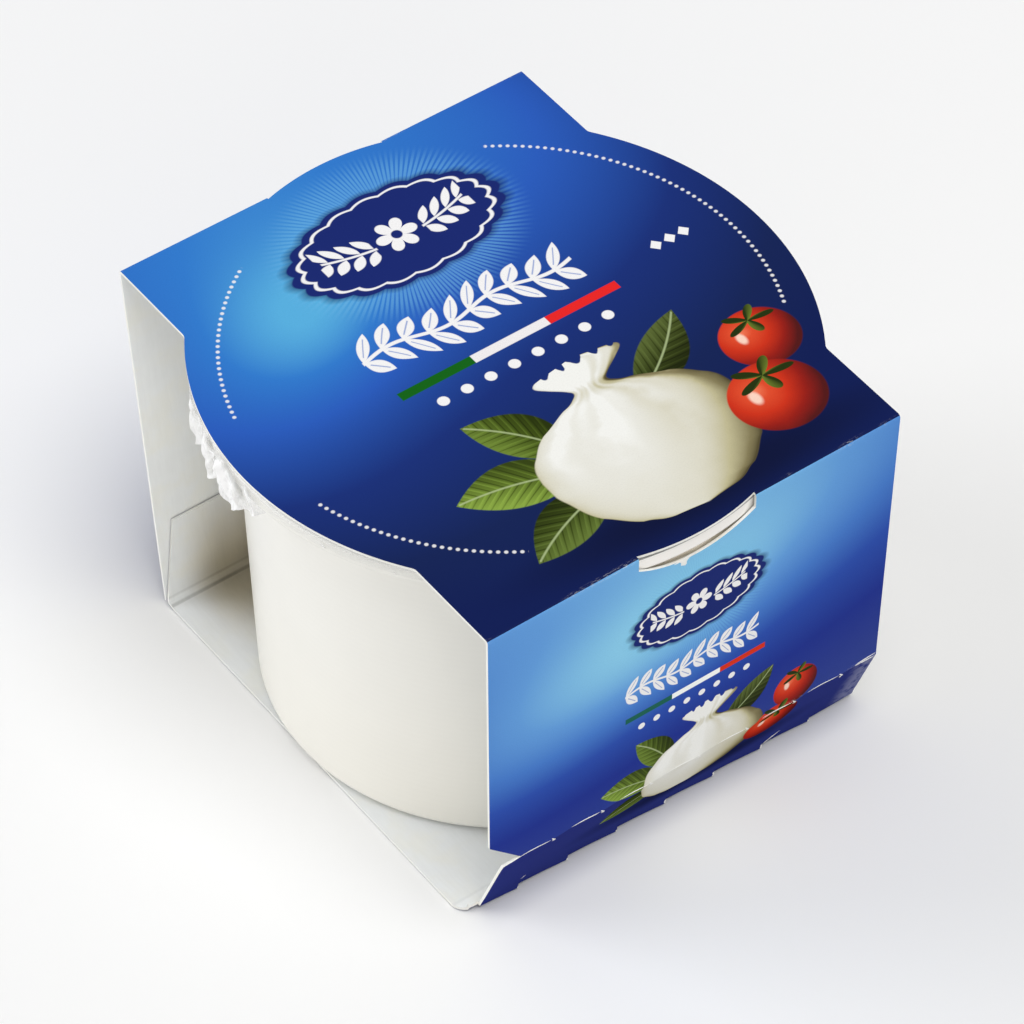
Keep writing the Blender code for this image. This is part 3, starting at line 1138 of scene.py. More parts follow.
@dataclass
class LidFilm:
    """The clear film over the rim, and its skirt, drawn in tight at the front and loose at the left.

    Angles are in degrees from +X. Each entry of folds is one fold, most of them large: its angle, its
    width, how far it stands out and how milky it is; the last two are hair-thin milky lines, painted
    highlights.
    """

    radius: float
    top: float
    rim_radius: float
    half_depth: float
    rim_drop: float = 2.9 * MM
    edge_round: float = 0.7 * MM
    skirt_length: float = 6.6 * MM
    tight_shortening: float = 0.6 * MM
    loose_growth: float = 2.4 * MM
    tight_radius: float = 41.9 * MM
    loose_reach: float = 3.6 * MM
    slot_inset: float = 1.1 * MM
    furthest: float = 1.9 * MM
    loose_at: tuple[float, float] = (163.0, 20.0)
    loose_half: float = 22.0
    loose_fade: float = 7.0
    turns: int = 1080
    steps: int = 30
    pleat_count: int = 190
    seed: int = 5
    folds: tuple[tuple[float, float, float, float], ...] = (
        (157.0, 0.7, 1.8 * MM, 0.9),
        (160.2, 1.1, -1.5 * MM, 0.3),
        (165.5, 0.9, 1.6 * MM, 0.8),
        (171.5, 1.3, 1.5 * MM, 0.9),
        (176.5, 1.0, 1.1 * MM, 0.9),
        (180.0, 0.6, 0.5 * MM, 0.8),
        # Painted highlights: two hair-thin milky lines that stand in for small glints on the tight film.
        (199.6, 0.35, 0.04 * MM, 1.0),
        (214.0, 0.2, 0.02 * MM, 0.4),
    )

    def looseness(self, angle: np.ndarray) -> np.ndarray:
        """How loosely the skirt hangs: 1 about each loose place, 0 elsewhere, by a smooth step.

        Args:
            angle: angle of each column, in radians.

        Returns:
            One share for each column.
        """
        away = [np.abs((angle - radians(at) + pi) % (2 * pi) - pi) for at in self.loose_at]
        nearest = np.minimum(*away)
        share = np.clip((radians(self.loose_half) - nearest) / radians(self.loose_fade), 0, 1)
        return share * share * (3 - 2 * share)

    def pleats(self, angle: np.ndarray, down: np.ndarray) -> tuple[np.ndarray, np.ndarray]:
        """Narrow ridges and furrows that slant and grow downwards, at chance angles.

        Each is a tent across its width, 1 - |off| / width, times its share of the way down.

        Args:
            angle: angle of each column.
            down: share of the way down of each row, as a column.

        Returns:
            How far the film stands out, and how strongly it is gathered from 0 to 1.
        """
        rng = np.random.default_rng(self.seed)
        stand = np.zeros((len(down), len(angle)))
        gather = np.zeros_like(stand)
        loose = self.looseness(angle)
        for _ in range(self.pleat_count):
            at = rng.uniform(0, 2 * pi)
            here = float(np.interp(at, angle, loose))
            width = radians(rng.uniform(0.8, 3.0))
            slant = radians(rng.uniform(-8, 8))
            size = rng.uniform(-1.0, 1.1) * MM * (0.01 + 0.82 * here)
            from_share = rng.uniform(-0.3, 0.35)
            off = (angle + slant * down - at + pi) % (2 * pi) - pi
            bell = np.clip(1 - np.abs(off) / width, 0, 1)
            grown = np.clip(down - from_share, 0, 1)
            stand += size * bell * grown
            milk = rng.uniform(0.25, 0.8) * (0.02 + 0.98 * here)
            gather += milk * bell * np.clip(grown * 2.2, 0, 1)
        for at, width, size, milk in self.folds:
            off = (angle - radians(at) + pi) % (2 * pi) - pi
            bell = np.clip(1 - np.abs(off) / radians(1.7 * width), 0, 1)
            stand += size * bell * np.clip(down * 1.6, 0, 1)
            gather += milk * bell * np.clip(down * 3, 0, 1)
        return stand, np.clip(gather, 0, 1)

    def skirt(
        self, angle: np.ndarray, down: np.ndarray, sides: np.ndarray, stand: np.ndarray
    ) -> np.ndarray:
        """The points of the skirt.

        With u the share of the way down, the radius eases from the rim's to the lower edge's by
        e^2 (3 - 2 e), e = u^1.3, and the pleats stand on it. The length grows where the film is
        loose, with a gently uneven edge. At the slots it is drawn in flat against the rim, and
        below the rim it stays inside the walls.

        Args:
            angle: angle of each column.
            down: share of the way down of each row, as a column.
            sides: 1 on the open sides, 0 at the slots, for each column.
            stand: how far each point stands out.

        Returns:
            (rows, columns, 3) points.
        """
        rng = np.random.default_rng(self.seed + 1)
        loose = self.looseness(angle)
        length = self.skirt_length + sides * (self.loose_growth * loose - self.tight_shortening)
        length += sides * 0.45 * MM * smooth_noise(rng, angle, 0.5, 7)
        fray = smooth_noise(rng, angle, 0.055, 3)
        length += sides * loose * MM * (0.35 * fray + smooth_noise(rng, angle, 0.23, 3))
        end = np.where(sides > 0, self.tight_radius + loose * self.loose_reach, self.rim_radius)
        ease = down**1.3
        ease = ease * ease * (3 - 2 * ease)
        r = self.radius + (end - self.radius) * ease * sides + stand * sides
        r = r - (1 - sides) * self.slot_inset * np.clip((down - 0.30) / 0.25, 0, 1)
        r = np.minimum(r, self.radius + self.furthest * sides)
        z = self.top - self.rim_drop * 0.25 - length * down
        z = z + 0.12 * MM * smooth_noise(rng, angle, 0.12, 4) * down * sides
        limit = self.half_depth / np.maximum(np.abs(np.sin(angle)), 1e-6)
        tucked = np.where(down * length > self.rim_drop, np.minimum(r, limit), r)
        return revolved(np.where(sides > 0.02, tucked, r), z, angle)

    def build(self, finish: bpy.types.Material) -> bpy.types.Object:
        """Lays the film over the rim and lets its skirt hang.

        Args:
            finish: the clear film.

        Returns:
            The piece, with how far it is gathered and how taut it is as point attributes.
        """
        angle = np.linspace(0, 2 * pi, self.turns, endpoint=False)
        down = np.linspace(0, 1, self.steps)[:, None]
        sides = np.clip((np.abs(np.cos(angle)) - 0.30) / 0.12, 0, 1)
        loose = self.looseness(angle)
        stand, gather = self.pleats(angle, down)
        centre = (self.radius - self.edge_round, self.top - self.edge_round)
        edge = arc_points(centre, self.edge_round, pi / 2, 0.0, 6)[:-1]
        flat_r = np.concatenate([[self.radius * 0.5], edge[:, 0]])
        flat_z = np.concatenate([[self.top], edge[:, 1]])
        lid = revolved(flat_r, flat_z, angle)
        sheet = np.concatenate([lid, self.skirt(angle, down, sides, stand)])
        faces = grid_faces(len(sheet), self.turns, ring=True)[:, ::-1]
        places = np.concatenate([sheet.reshape(-1, 3), [[0.0, 0.0, self.top]]])
        here = np.arange(self.turns)
        pole = np.full(self.turns, len(places) - 1)
        cap = np.stack([here, (here + 1) % self.turns, pole, pole], axis=1)
        film = mesh_piece("clear_film", places, np.concatenate([faces, cap]))
        edge_share = np.clip((down - 0.93) / 0.07, 0, 1) * (0.10 + 0.3 * loose)
        skirt_gather = np.clip(gather + edge_share + 0.22 * loose * down, 0, 1) * sides
        rim_gather = np.zeros((len(lid), self.turns))
        rim_gather[-3:] = 0.25 * sides
        taut = np.broadcast_to((1 - sides) * 0.95, skirt_gather.shape)
        self.mark(film, "gather", rim_gather, skirt_gather)
        self.mark(film, "taut", np.zeros_like(rim_gather), taut)
        film.data.materials.append(finish)
        sharpen(film, radians(17))
        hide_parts("lid_film")
        return film

    @staticmethod
    def mark(film: bpy.types.Object, name: str, lid: np.ndarray, skirt: np.ndarray) -> None:
        """Stores a number at each point of the lid and the skirt, and 0 at the pole."""
        levels = np.concatenate([lid.reshape(-1), skirt.reshape(-1), [0.0]])
        layer = film.data.attributes.new(name, "FLOAT", "POINT")
        layer.data.foreach_set("value", levels.astype(np.float32))


# ---------------------------------------------------------------------------------------------
# Finishes
# ---------------------------------------------------------------------------------------------


def new_material(name: str) -> tuple[bpy.types.Material, Tree]:
    """An empty material and its tree."""
    material = bpy.data.materials.new(name)
    material.use_nodes = True
    return material, Tree(material.node_tree)


def blank_layout(tree: Tree) -> Any:
    """The place on the blank in millimetres, read from the layout that the board carries."""
    layout = tree.node("ShaderNodeUVMap", uv_map="blank").outputs[0]
    inputs = {0: layout, 3: UV_LENGTH / MM}
    return tree.node("ShaderNodeVectorMath", inputs, operation="SCALE").outputs[0]


def toned(colour: Colour, shares: Colour) -> Colour:
    """A colour with each channel multiplied by its share."""
    return tuple(channel * share for channel, share in zip(colour, shares))


@dataclass
class Artwork:
    """Ink laid over ink on a flat sheet, in the sheet's own millimetres."""

    tree: Tree
    x: Value
    y: Value
    ink: Any

    def lay(self, colour: Any, mask: Value) -> None:
        """Lays a colour over the ink where the mask is 1."""
        self.ink = self.tree.mix(self.ink, colour, mask)

    def about(self, centre: tuple[float, float], turn: float = 0.0) -> tuple[Value, Value]:
        """Coordinates about a centre, with the first axis turned anticlockwise by degrees."""
        across, up = self.x - centre[0], self.y - centre[1]
        if turn == 0.0:
            return across, up
        c, s = cos(radians(turn)), sin(radians(turn))
        return across * c + up * s, up * c - across * s

    def oval(
        self, centre: tuple[float, float], half: tuple[float, float], turn: float = 0.0
    ) -> Value:
        """Distance outside an ellipse, near enough: (|place / half| - 1) times the smaller half."""
        along, aside = self.about(centre, turn)
        return (((along / half[0]) ** 2 + (aside / half[1]) ** 2).sqrt() - 1.0) * min(half)

    @staticmethod
    def blade(along: Value, aside: Value, length: float, width: float) -> Value:
        """Distance outside a leaf: |aside| - width (1 - (along / length)^2)."""
        return abs(aside) - (1.0 - (along / length) ** 2) * width


@dataclass(frozen=True)
class Glow:
    """A printed gradient: a slope with one bright patch, darker far from the middle; its stops can carry
    painted sheen too.

    With the patch's own turned axes u and w, the level is
    start + up Y / 46 + across X / 46 + patch exp(-(u / rx)^2 - (w / ry)^2) - far (r / reach)^4.
    """

    start: float
    up: float
    across: float
    patch: float
    centre: tuple[float, float]
    half: tuple[float, float]
    turn: float
    far: float
    reach: float
    stops: tuple[Colour, ...]

    def colour(self, art: Artwork) -> Any:
        """The gradient's colour at each place of the artwork.

        Args:
            art: the artwork, whose coordinates are used.

        Returns:
            The socket of the colour.
        """
        u, w = art.about(self.centre, self.turn)
        bell = (0.0 - (u / self.half[0]) ** 2 - (w / self.half[1]) ** 2).math("EXPONENT")
        level = art.y * (self.up / 46) + art.x * (self.across / 46) + bell * self.patch
        out = (art.x**2 + art.y**2) / self.reach**2
        level = level + self.start - out * out * self.far
        steps = len(self.stops) - 1
        return art.tree.ramp(level.share(), [(i / steps, stop) for i, stop in enumerate(self.stops)])


TOP_GLOW = Glow(
    0.45, 0.43, -0.119, 0.32, (-20.3, 21.5), (17.0, 12.5), 37.9, 0.098, 47.26,
    (srgb(18, 31, 84), srgb(22, 37, 86), srgb(27, 49, 120), srgb(43, 92, 187), srgb(50, 122, 204),
     srgb(88, 174, 222)),
)
# The walls' printed gradient. Its first stop, greyer and lighter than the second, is a painted sheen:
# low on the front wall, towards its corners, the print looks as if it catches a reflection.
WALL_PRINT_AND_SHEEN = Glow(
    0.314, 0.425, -0.049, 0.46, (-12.9, 23.5), (54.5, 21.9), 16.7, 0.125, 80.85,
    (srgb(49, 66, 144), srgb(32, 51, 143), srgb(45, 80, 174), srgb(73, 126, 206),
     srgb(101, 160, 224), srgb(141, 207, 239)),
)
# The pouch's half width as a share of its widest, at shares of its height.
POUCH_WIDTHS = (
    (0.00, 0.00), (0.02, 0.34), (0.07, 0.58), (0.18, 0.83), (0.34, 0.97), (0.48, 1.00),
    (0.60, 0.90), (0.70, 0.66), (0.765, 0.36), (0.80, 0.20), (0.84, 0.20), (0.90, 0.36),
    (0.965, 0.42), (1.00, 0.0),
)
BACK_GROUND = (
    (0.0, srgb(92, 166, 222)),
    (0.25, srgb(56, 118, 200)),
    (0.65, srgb(38, 62, 146)),
    (1.0, srgb(24, 36, 92)),
)
WHITE_INK = srgb(244, 243, 243)
PLAQUE_INK = srgb(27, 42, 112)


@dataclass
class Picture(Artwork):
    """The printed design: a plaque, a garland, a three-colour bar and a still life."""

    plaque_centre: tuple[float, float] = (0.5, 28.0)
    plaque_half: tuple[float, float] = (18.0, 9.6)
    ray_count: int = 132
    scallops: float = 10.0
    sprig_reach: float = 13.0
    sprig_pitch: float = 2.5
    garland_height: float = 8.6
    garland_wave: float = 19.0
    garland_half: float = 19.0
    garland_pitch: float = 3.8
    bar_height: float = -0.25
    bar_half: float = 0.85
    bar_marks: tuple[float, float, float, float] = (-19.2, -6.0, 7.7, 20.7)
    bead_height: float = -4.6
    bead_pitch: float = 4.3
    dots_radius: float = 42.3
    dot_pitch: float = 1.15
    lozenges: tuple[float, float] = (33.0, 3.0)
    pouch_middle: float = 4.5
    pouch_half: float = 17.4
    pouch_foot: float = -43.5
    pouch_height: float = 35.0

    def rays(self) -> None:
        """Fine pale rays round the plaque, fading outwards."""
        along, up = self.about(self.plaque_centre)
        angle = up.angle_from(along)
        reach = (along**2 / 1.5 + up**2).sqrt()
        line = abs(angle.repeat(2 * pi / self.ray_count)) * reach
        mask = line.rise(0.30, 0.10) * reach.rise(18.5, 13.0) * 0.42
        self.lay(srgb(120, 190, 232), mask)

    def plaque(self) -> None:
        """A scalloped oval plaque with a white line, two white sprigs and a flower."""
        along, up = self.about(self.plaque_centre)
        a, b = along / self.plaque_half[0], up / self.plaque_half[1]
        turn = b.angle_from(a)
        radius = (a**2 + b**2).sqrt()
        edge = (radius - 1.0 - abs((turn * self.scallops).cosine()) * 0.055) * self.plaque_half[1]
        self.lay(srgb(15, 26, 74), (edge - 0.5).inside(0.9) * 0.6)
        self.lay(PLAQUE_INK, edge.inside(0.16))
        self.lay(WHITE_INK, (abs(edge + 1.05) - 0.19).inside(0.14))
        side = abs(along)
        stem = up + 1.1 - (side / self.sprig_reach) ** 2 * 2.4
        line = (abs(stem) - 0.22).higher(side - self.sprig_reach).higher(4.2 - side)
        self.lay(WHITE_INK, line.inside(0.16))
        cell = (side - 5.6).repeat(self.sprig_pitch)
        out = abs(stem)
        c, s = cos(radians(48)), sin(radians(48))
        lean = cell * c + (out - 1.75) * s
        flat = (out - 1.75) * c - cell * s
        leaf = self.blade(lean, flat, 2.0, 0.78).higher(side - 13.6).higher(4.6 - side)
        self.lay(WHITE_INK, leaf.inside(0.16))
        bloom = up.angle_from(along)
        petal = (along**2 + up**2).sqrt() - abs((bloom * 3.0).cosine()).sqrt() * 2.6 - 1.0
        self.lay(WHITE_INK, petal.inside(0.18))
        self.lay(PLAQUE_INK, ((along**2 + up**2).sqrt() - 0.9).inside(0.18))

    def garland(self) -> None:
        """White leaves along a waving stem."""
        wave = (self.x * (2 * pi / self.garland_wave)).sine() * 0.9
        stem = self.y - self.garland_height - wave
        ends = abs(self.x + 0.6) - self.garland_half
        cell = (self.x + 2.5).repeat(self.garland_pitch)
        self.lay(WHITE_INK, (abs(stem) - 0.34).higher(ends).inside(0.16))
        out = abs(stem) - 2.25
        c, s = cos(radians(52)), sin(radians(52))
        leaf = self.blade(cell * c + out * s, out * c - cell * s, 2.75, 1.12)
        self.lay(WHITE_INK, leaf.higher(ends).inside(0.16))
        vein = (abs(out * c - cell * s) - 0.10).higher(abs(cell * c + out * s) - 1.7)
        self.lay(srgb(60, 112, 196), vein.higher(ends).inside(0.14) * 0.7)

    def bars(self, bright: Value) -> None:
        """The three-colour bar and the row of beads under it.

        Args:
            bright: 1 on the top panel, whose green and red are a little deeper.
        """
        green = self.tree.mix(srgb(31, 99, 84), srgb(21, 99, 24), bright)
        red = self.tree.mix(srgb(217, 53, 26), srgb(233, 40, 39), bright)
        white = self.tree.mix(srgb(251, 253, 250), srgb(240, 236, 237), bright)
        row = abs(self.y - self.bar_height) - self.bar_half
        for low, high, colour in zip(self.bar_marks, self.bar_marks[1:], (green, white, red)):
            place = abs(self.x - (low + high) / 2) - (high - low) / 2
            self.lay(colour, place.higher(row).inside(0.12))
        cell = (self.x + 1.6).repeat(self.bead_pitch)
        height = self.y - self.bead_height
        bead = (cell**2 + height**2).sqrt() - 0.95
        diamond = (abs(cell) + abs(height)) - 1.5
        mask = bead.higher(diamond).higher(abs(self.x + 0.2) - 16.9).inside(0.14)
        self.lay(WHITE_INK, mask)

    def rim_dots(self, shown: Value) -> None:
        """A fine dotted line on arcs near the rim, and a small row of lozenges at the right.

        Args:
            shown: 1 where they are printed, on the top panel.
        """
        radius = (self.x**2 + self.y**2).sqrt()
        angle = self.y.angle_from(self.x)
        dot = angle.repeat(self.dot_pitch / self.dots_radius) * self.dots_radius
        spot = ((dot**2 + (radius - self.dots_radius) ** 2).sqrt() - 0.30).inside(0.16)
        left = (abs(abs(angle) - 2.51) - 0.38).inside(0.01)
        right = (abs(angle - 0.28) - 0.73).inside(0.01)
        self.lay(WHITE_INK, spot * left.higher(right) * shown * 0.85)
        across, up = self.about(self.lozenges)
        mark = abs(across.repeat(2.6)) * 1.1 + abs(up) - 1.15
        self.lay(WHITE_INK, mark.higher(abs(across) - 4.0).inside(0.14) * shown)

    def still_life(self, cloud: Value) -> None:
        """Leaves, a knotted pouch of cheese and two tomatoes over a dark shadow.

        Args:
            cloud: soft noise that loosens the folds of the pouch.
        """
        self.lay(srgb(14, 20, 52), self.oval((6.0, -41.0), (29.0, 5.2)).rise(2.4, -3.4) * 0.85)
        for centre, turn, length, width, deep in (
            ((17.0, -16.0), 38.0, 9.5, 3.9, srgb(52, 62, 22)),
            ((-9.5, -17.0), 128.0, 9.0, 4.3, srgb(67, 84, 24)),
            ((-15.5, -24.5), 164.0, 10.0, 4.6, srgb(86, 106, 36)),
            ((-14.0, -34.5), 200.0, 9.5, 4.3, srgb(60, 74, 24)),
        ):
            self.leaf(centre, turn, length, width, deep)
        self.tomato((31.0, -21.5), 6.2, cloud)
        self.pouch(cloud)
        self.tomato((25.6, -32.5), 7.4, cloud)

    def leaf(
        self, centre: tuple[float, float], turn: float, length: float, width: float, deep: Colour
    ) -> None:
        """A green leaf with a pale midrib and side veins, darker on one half.

        Args:
            centre: its middle.
            turn: degrees that its tip is turned anticlockwise from +x.
            length: half its length.
            width: half its width.
            deep: the green of its darker half.
        """
        along, aside = self.about(centre, turn)
        bend = aside - (along / length) ** 2 * 1.1
        shape = self.blade(along, bend, length, width)
        lit = tuple(channel * 2.6 + 0.012 for channel in deep)
        level = (bend / width * 0.5 + along / length * 0.35 + 0.45).share()
        vein = (along - abs(bend) * 1.1).repeat(2.1)
        level = level + (vein / 2.1).rise(0.10, 0.5) * 0.28 - abs(vein).rise(0.24, 0.05) * 0.30
        dark = tuple(channel * 0.4 for channel in deep)
        green = self.tree.ramp(level.share(), [(0.0, dark), (0.4, deep), (1.0, lit)])
        self.lay(green, shape.inside(0.22))
        rib = (abs(bend) - 0.16).higher(shape + 0.3).inside(0.2)
        self.lay(srgb(176, 192, 140), rib * 0.8)

    def tomato(self, centre: tuple[float, float], radius: float, cloud: Value) -> None:
        """A round red tomato with a soft highlight and a green star.

        Args:
            centre: its middle.
            radius: its radius.
            cloud: soft noise that mottles its red.
        """
        across, up = self.about(centre)
        shape = ((across / 1.04) ** 2 + (up * 1.04) ** 2).sqrt() - radius
        deep = ((across + 0.30 * radius) ** 2 + (up - 0.34 * radius) ** 2).sqrt() / (1.5 * radius)
        stops = [
            (0.0, srgb(240, 120, 84)),
            (0.16, srgb(224, 78, 46)),
            (0.42, srgb(205, 52, 28)),
            (0.68, srgb(150, 32, 24)),
            (0.9, srgb(84, 26, 26)),
        ]
        self.lay(self.tree.ramp((deep + (cloud - 0.5) * 0.16).share(), stops), shape.inside(0.22))
        shine = ((across + 0.42 * radius) ** 2 + ((up - 0.18 * radius) * 0.62) ** 2).sqrt() / radius
        self.lay(srgb(255, 226, 206), shine.rise(0.16, 0.07) * 0.85)
        star_x, star_y = across - 0.08 * radius, (up - 0.60 * radius) * 1.5
        turn = star_y.angle_from(star_x)
        arm = abs((turn * 2.5 + 0.4).cosine()) ** 2.2 * (0.62 * radius) + 0.12 * radius
        star = (star_x**2 + star_y**2).sqrt() - arm
        green = self.tree.mix(srgb(38, 52, 16), srgb(104, 122, 44), (turn * 2.5).sine().share())
        self.lay(green, star.inside(0.22))

    def pouch(self, cloud: Value) -> None:
        """A soft white pouch gathered into a knot, with folds that run down from the knot.

        Its half width is read from a curve over its height, and its light from
        0.62 sqrt(1 - a^2) - 0.27 a, with a from -1 to 1 across it.

        Args:
            cloud: soft noise that loosens the folds.
        """
        height = (self.y - self.pouch_foot) / self.pouch_height
        stops = [(place, (share, share, share)) for place, share in POUCH_WIDTHS]
        width = self.tree.value(self.tree.ramp(height.share(), stops, "CARDINAL"))
        half = width * self.pouch_half
        middle = self.x - self.pouch_middle
        ruffle = (middle * 2.1 + cloud * 9.0).sine() * height.rise(0.86, 0.98) * 0.9
        aside = middle - (height - 0.8).higher(0.0) * 6.0
        across = aside / half.higher(0.5)
        shape = (abs(aside) - half).higher(self.y + 9.3 + ruffle).higher(-43.4 - self.y)
        round_share = (1.0 - across**2).higher(0.0).sqrt()
        light = round_share * 0.62 - across * 0.27 + (height - 0.35) * 0.46 + 0.20
        folds = (across * 9.0 + cloud * 5.0).sine() * height.rise(0.18, 0.66)
        finer = (across * 21.0 + cloud * 9.0).sine() * height.rise(0.42, 0.76)
        level = light + folds * 0.10 + finer * 0.07 + (cloud - 0.5) * 0.14
        level = level - height.rise(0.74, 0.80) * height.rise(0.86, 0.81) * 0.30
        stops = [
            (0.0, srgb(84, 76, 50)),
            (0.22, srgb(133, 124, 88)),
            (0.45, srgb(191, 184, 146)),
            (0.68, srgb(220, 217, 200)),
            (0.88, srgb(232, 231, 222)),
            (1.0, srgb(243, 243, 238)),
        ]
        self.lay(self.tree.ramp(level.share(), stops), shape.inside(0.26))


@dataclass(frozen=True)
class PrintedFinish:
    """The coated printed face of the board, on the blank's own layout in millimetres."""

    name: str
    folds: tuple[float, ...]
    top_middle: float
    wall_scale: float = 0.652
    wall_middle: tuple[float, float] = (0.41, 33.2)
    strip_height: float = 15.3
    tab_half_width: float = 10.6
    tab_reach: float = 2.2
    wall_height: float = 68.0
    frame_half_width: float = 26.0
    frame_half_height: float = 19.0
    frame_middle: float = 0.48
    rule_pitch: float = 3.0

    def material(self) -> bpy.types.Material:
        """Builds the finish: grounds with a painted sheen low on the front wall, then the picture, then
        wear with a painted sheen at the strip's right end.

        Returns:
            The material.
        """
        material, tree = new_material(self.name)
        flat = blank_layout(tree)
        x, s, _ = tree.axes(flat)
        base_front, strip_top, front_top, back_top = self.folds[1:5]
        tab = abs(x).math("LESS_THAN", self.tab_half_width) * self.tab_reach
        on_top = (s + tab).math("GREATER_THAN", front_top) * (s - tab).math("LESS_THAN", back_top)
        on_wall = s.math("GREATER_THAN", base_front) * (s + tab).math("LESS_THAN", front_top)
        shown = on_top + on_wall
        across, up = self.picture_place(x, s, strip_top, on_top)
        cloud = tree.noise(flat, 0.16, 3.0)
        art = Picture(tree, across, up, None)
        # Printed gradient of the walls, with painted sheen low on the front wall.
        walls = WALL_PRINT_AND_SHEEN.colour(art)
        art.ink = tree.mix(walls, TOP_GLOW.colour(art), on_top)
        away = (s - back_top) / self.wall_height
        art.lay(tree.ramp(away.share(), BACK_GROUND), (s - tab).math("GREATER_THAN", back_top))
        art.lay(srgb(30, 42, 104), s.math("LESS_THAN", base_front))
        self.back_panel(art, x, s, away)
        on_strip = on_wall * s.math("LESS_THAN", strip_top)
        art.lay(srgb(43, 49, 117), on_strip * 0.80)
        ground = art.ink
        art.rays()
        art.plaque()
        art.garland()
        art.bars(on_top)
        art.rim_dots(on_top)
        art.still_life(cloud)
        printed = tree.mix(ground, art.ink, shown)
        # Wear and painted sheen: broken patches at the strip's right end are lightened to a greyish
        # lilac, partly scuffed print and partly a painted gloss reflection.
        rubbed_and_sheen = on_strip * x.rise(31.5, 35.5) * tree.noise(flat, 0.6, 4.0).rise(0.30, 0.56)
        printed = tree.mix(printed, srgb(168, 172, 200), rubbed_and_sheen * 0.42)
        worn = self.worn(tree, flat, s) * (1.0 - tab / self.tab_reach)
        printed = tree.mix(printed, srgb(222, 222, 222), worn * 0.4)
        grain = tree.noise(flat, 4.2, 3.0, 0.6)
        tree.surface(
            {
                "Base Color": tree.mix(printed, srgb(16, 22, 60), grain.rise(0.42, 0.75) * 0.06),
                "Roughness": (0.42 + (grain - 0.5) * 0.16 + worn * 0.3).share(),
                "Specular IOR Level": 0.0,
                "Coat Weight": 0.10 - on_strip * 0.09 + rubbed_and_sheen * 0.05,
                "Coat Roughness": 0.35,
                "Normal": tree.bump(grain, 0.012 * MM, 0.6),
            }
        )
        return material

    def picture_place(
        self, x: Value, s: Value, strip_top: float, on_top: Value
    ) -> tuple[Value, Value]:
        """Coordinates of the printed design, which the front wall repeats at a smaller scale.

        Args:
            x: across the blank.
            s: along the blank.
            strip_top: the s of the fold above the tear strip.
            on_top: 1 on the top panel.

        Returns:
            Across and up, in the millimetres of the top panel's design.
        """
        wall_x = (x - self.wall_middle[0]) / self.wall_scale
        wall_y = (s - strip_top + (self.strip_height - self.wall_middle[1])) / self.wall_scale
        return wall_x + (x - wall_x) * on_top, wall_y + (s - self.top_middle - wall_y) * on_top

    def back_panel(self, art: Artwork, x: Value, s: Value, away: Value) -> None:
        """A framed panel of plain rules on the back wall.

        Args:
            art: the artwork that it is laid over.
            x: across the blank.
            s: along the blank.
            away: share of the way down the back wall.
        """
        back_top = self.folds[4]
        side = abs(x) - self.frame_half_width
        end = abs(away - self.frame_middle) * self.wall_height - self.frame_half_height
        frame = side.higher(end)
        on_back = s.math("GREATER_THAN", back_top + self.tab_reach)
        art.lay(srgb(33, 62, 150), frame.inside(0.16) * on_back * 0.55)
        art.lay(WHITE_INK, (abs(frame + 0.9) - 0.16).inside(0.14) * on_back)
        rule = abs((s - back_top).repeat(self.rule_pitch)) - 0.22
        rules = rule.higher(side + 4.0).higher(end + 4.0).inside(0.14)
        art.lay(WHITE_INK, rules * on_back * 0.6)

    def worn(self, tree: Tree, flat: Any, s: Value) -> Value:
        """Broken ink along the folds, where the board's white shows in fine scuffs.

        Args:
            tree: the tree.
            flat: the blank's layout.
            s: along the blank.

        Returns:
            1 where the ink is gone.
        """
        near = abs(s - self.folds[0])
        for fold in self.folds[1:]:
            near = near.lower(abs(s - fold))
        streak = tree.noise(tree.stretched(flat, (0.5, 2.2, 1.0)), 2.4, 5.0, 0.75)
        patch = tree.noise(flat, 0.13, 2.0)
        return near.rise(0.70, 0.10) * streak.rise(0.52, 0.60) * patch.rise(0.46, 0.60)


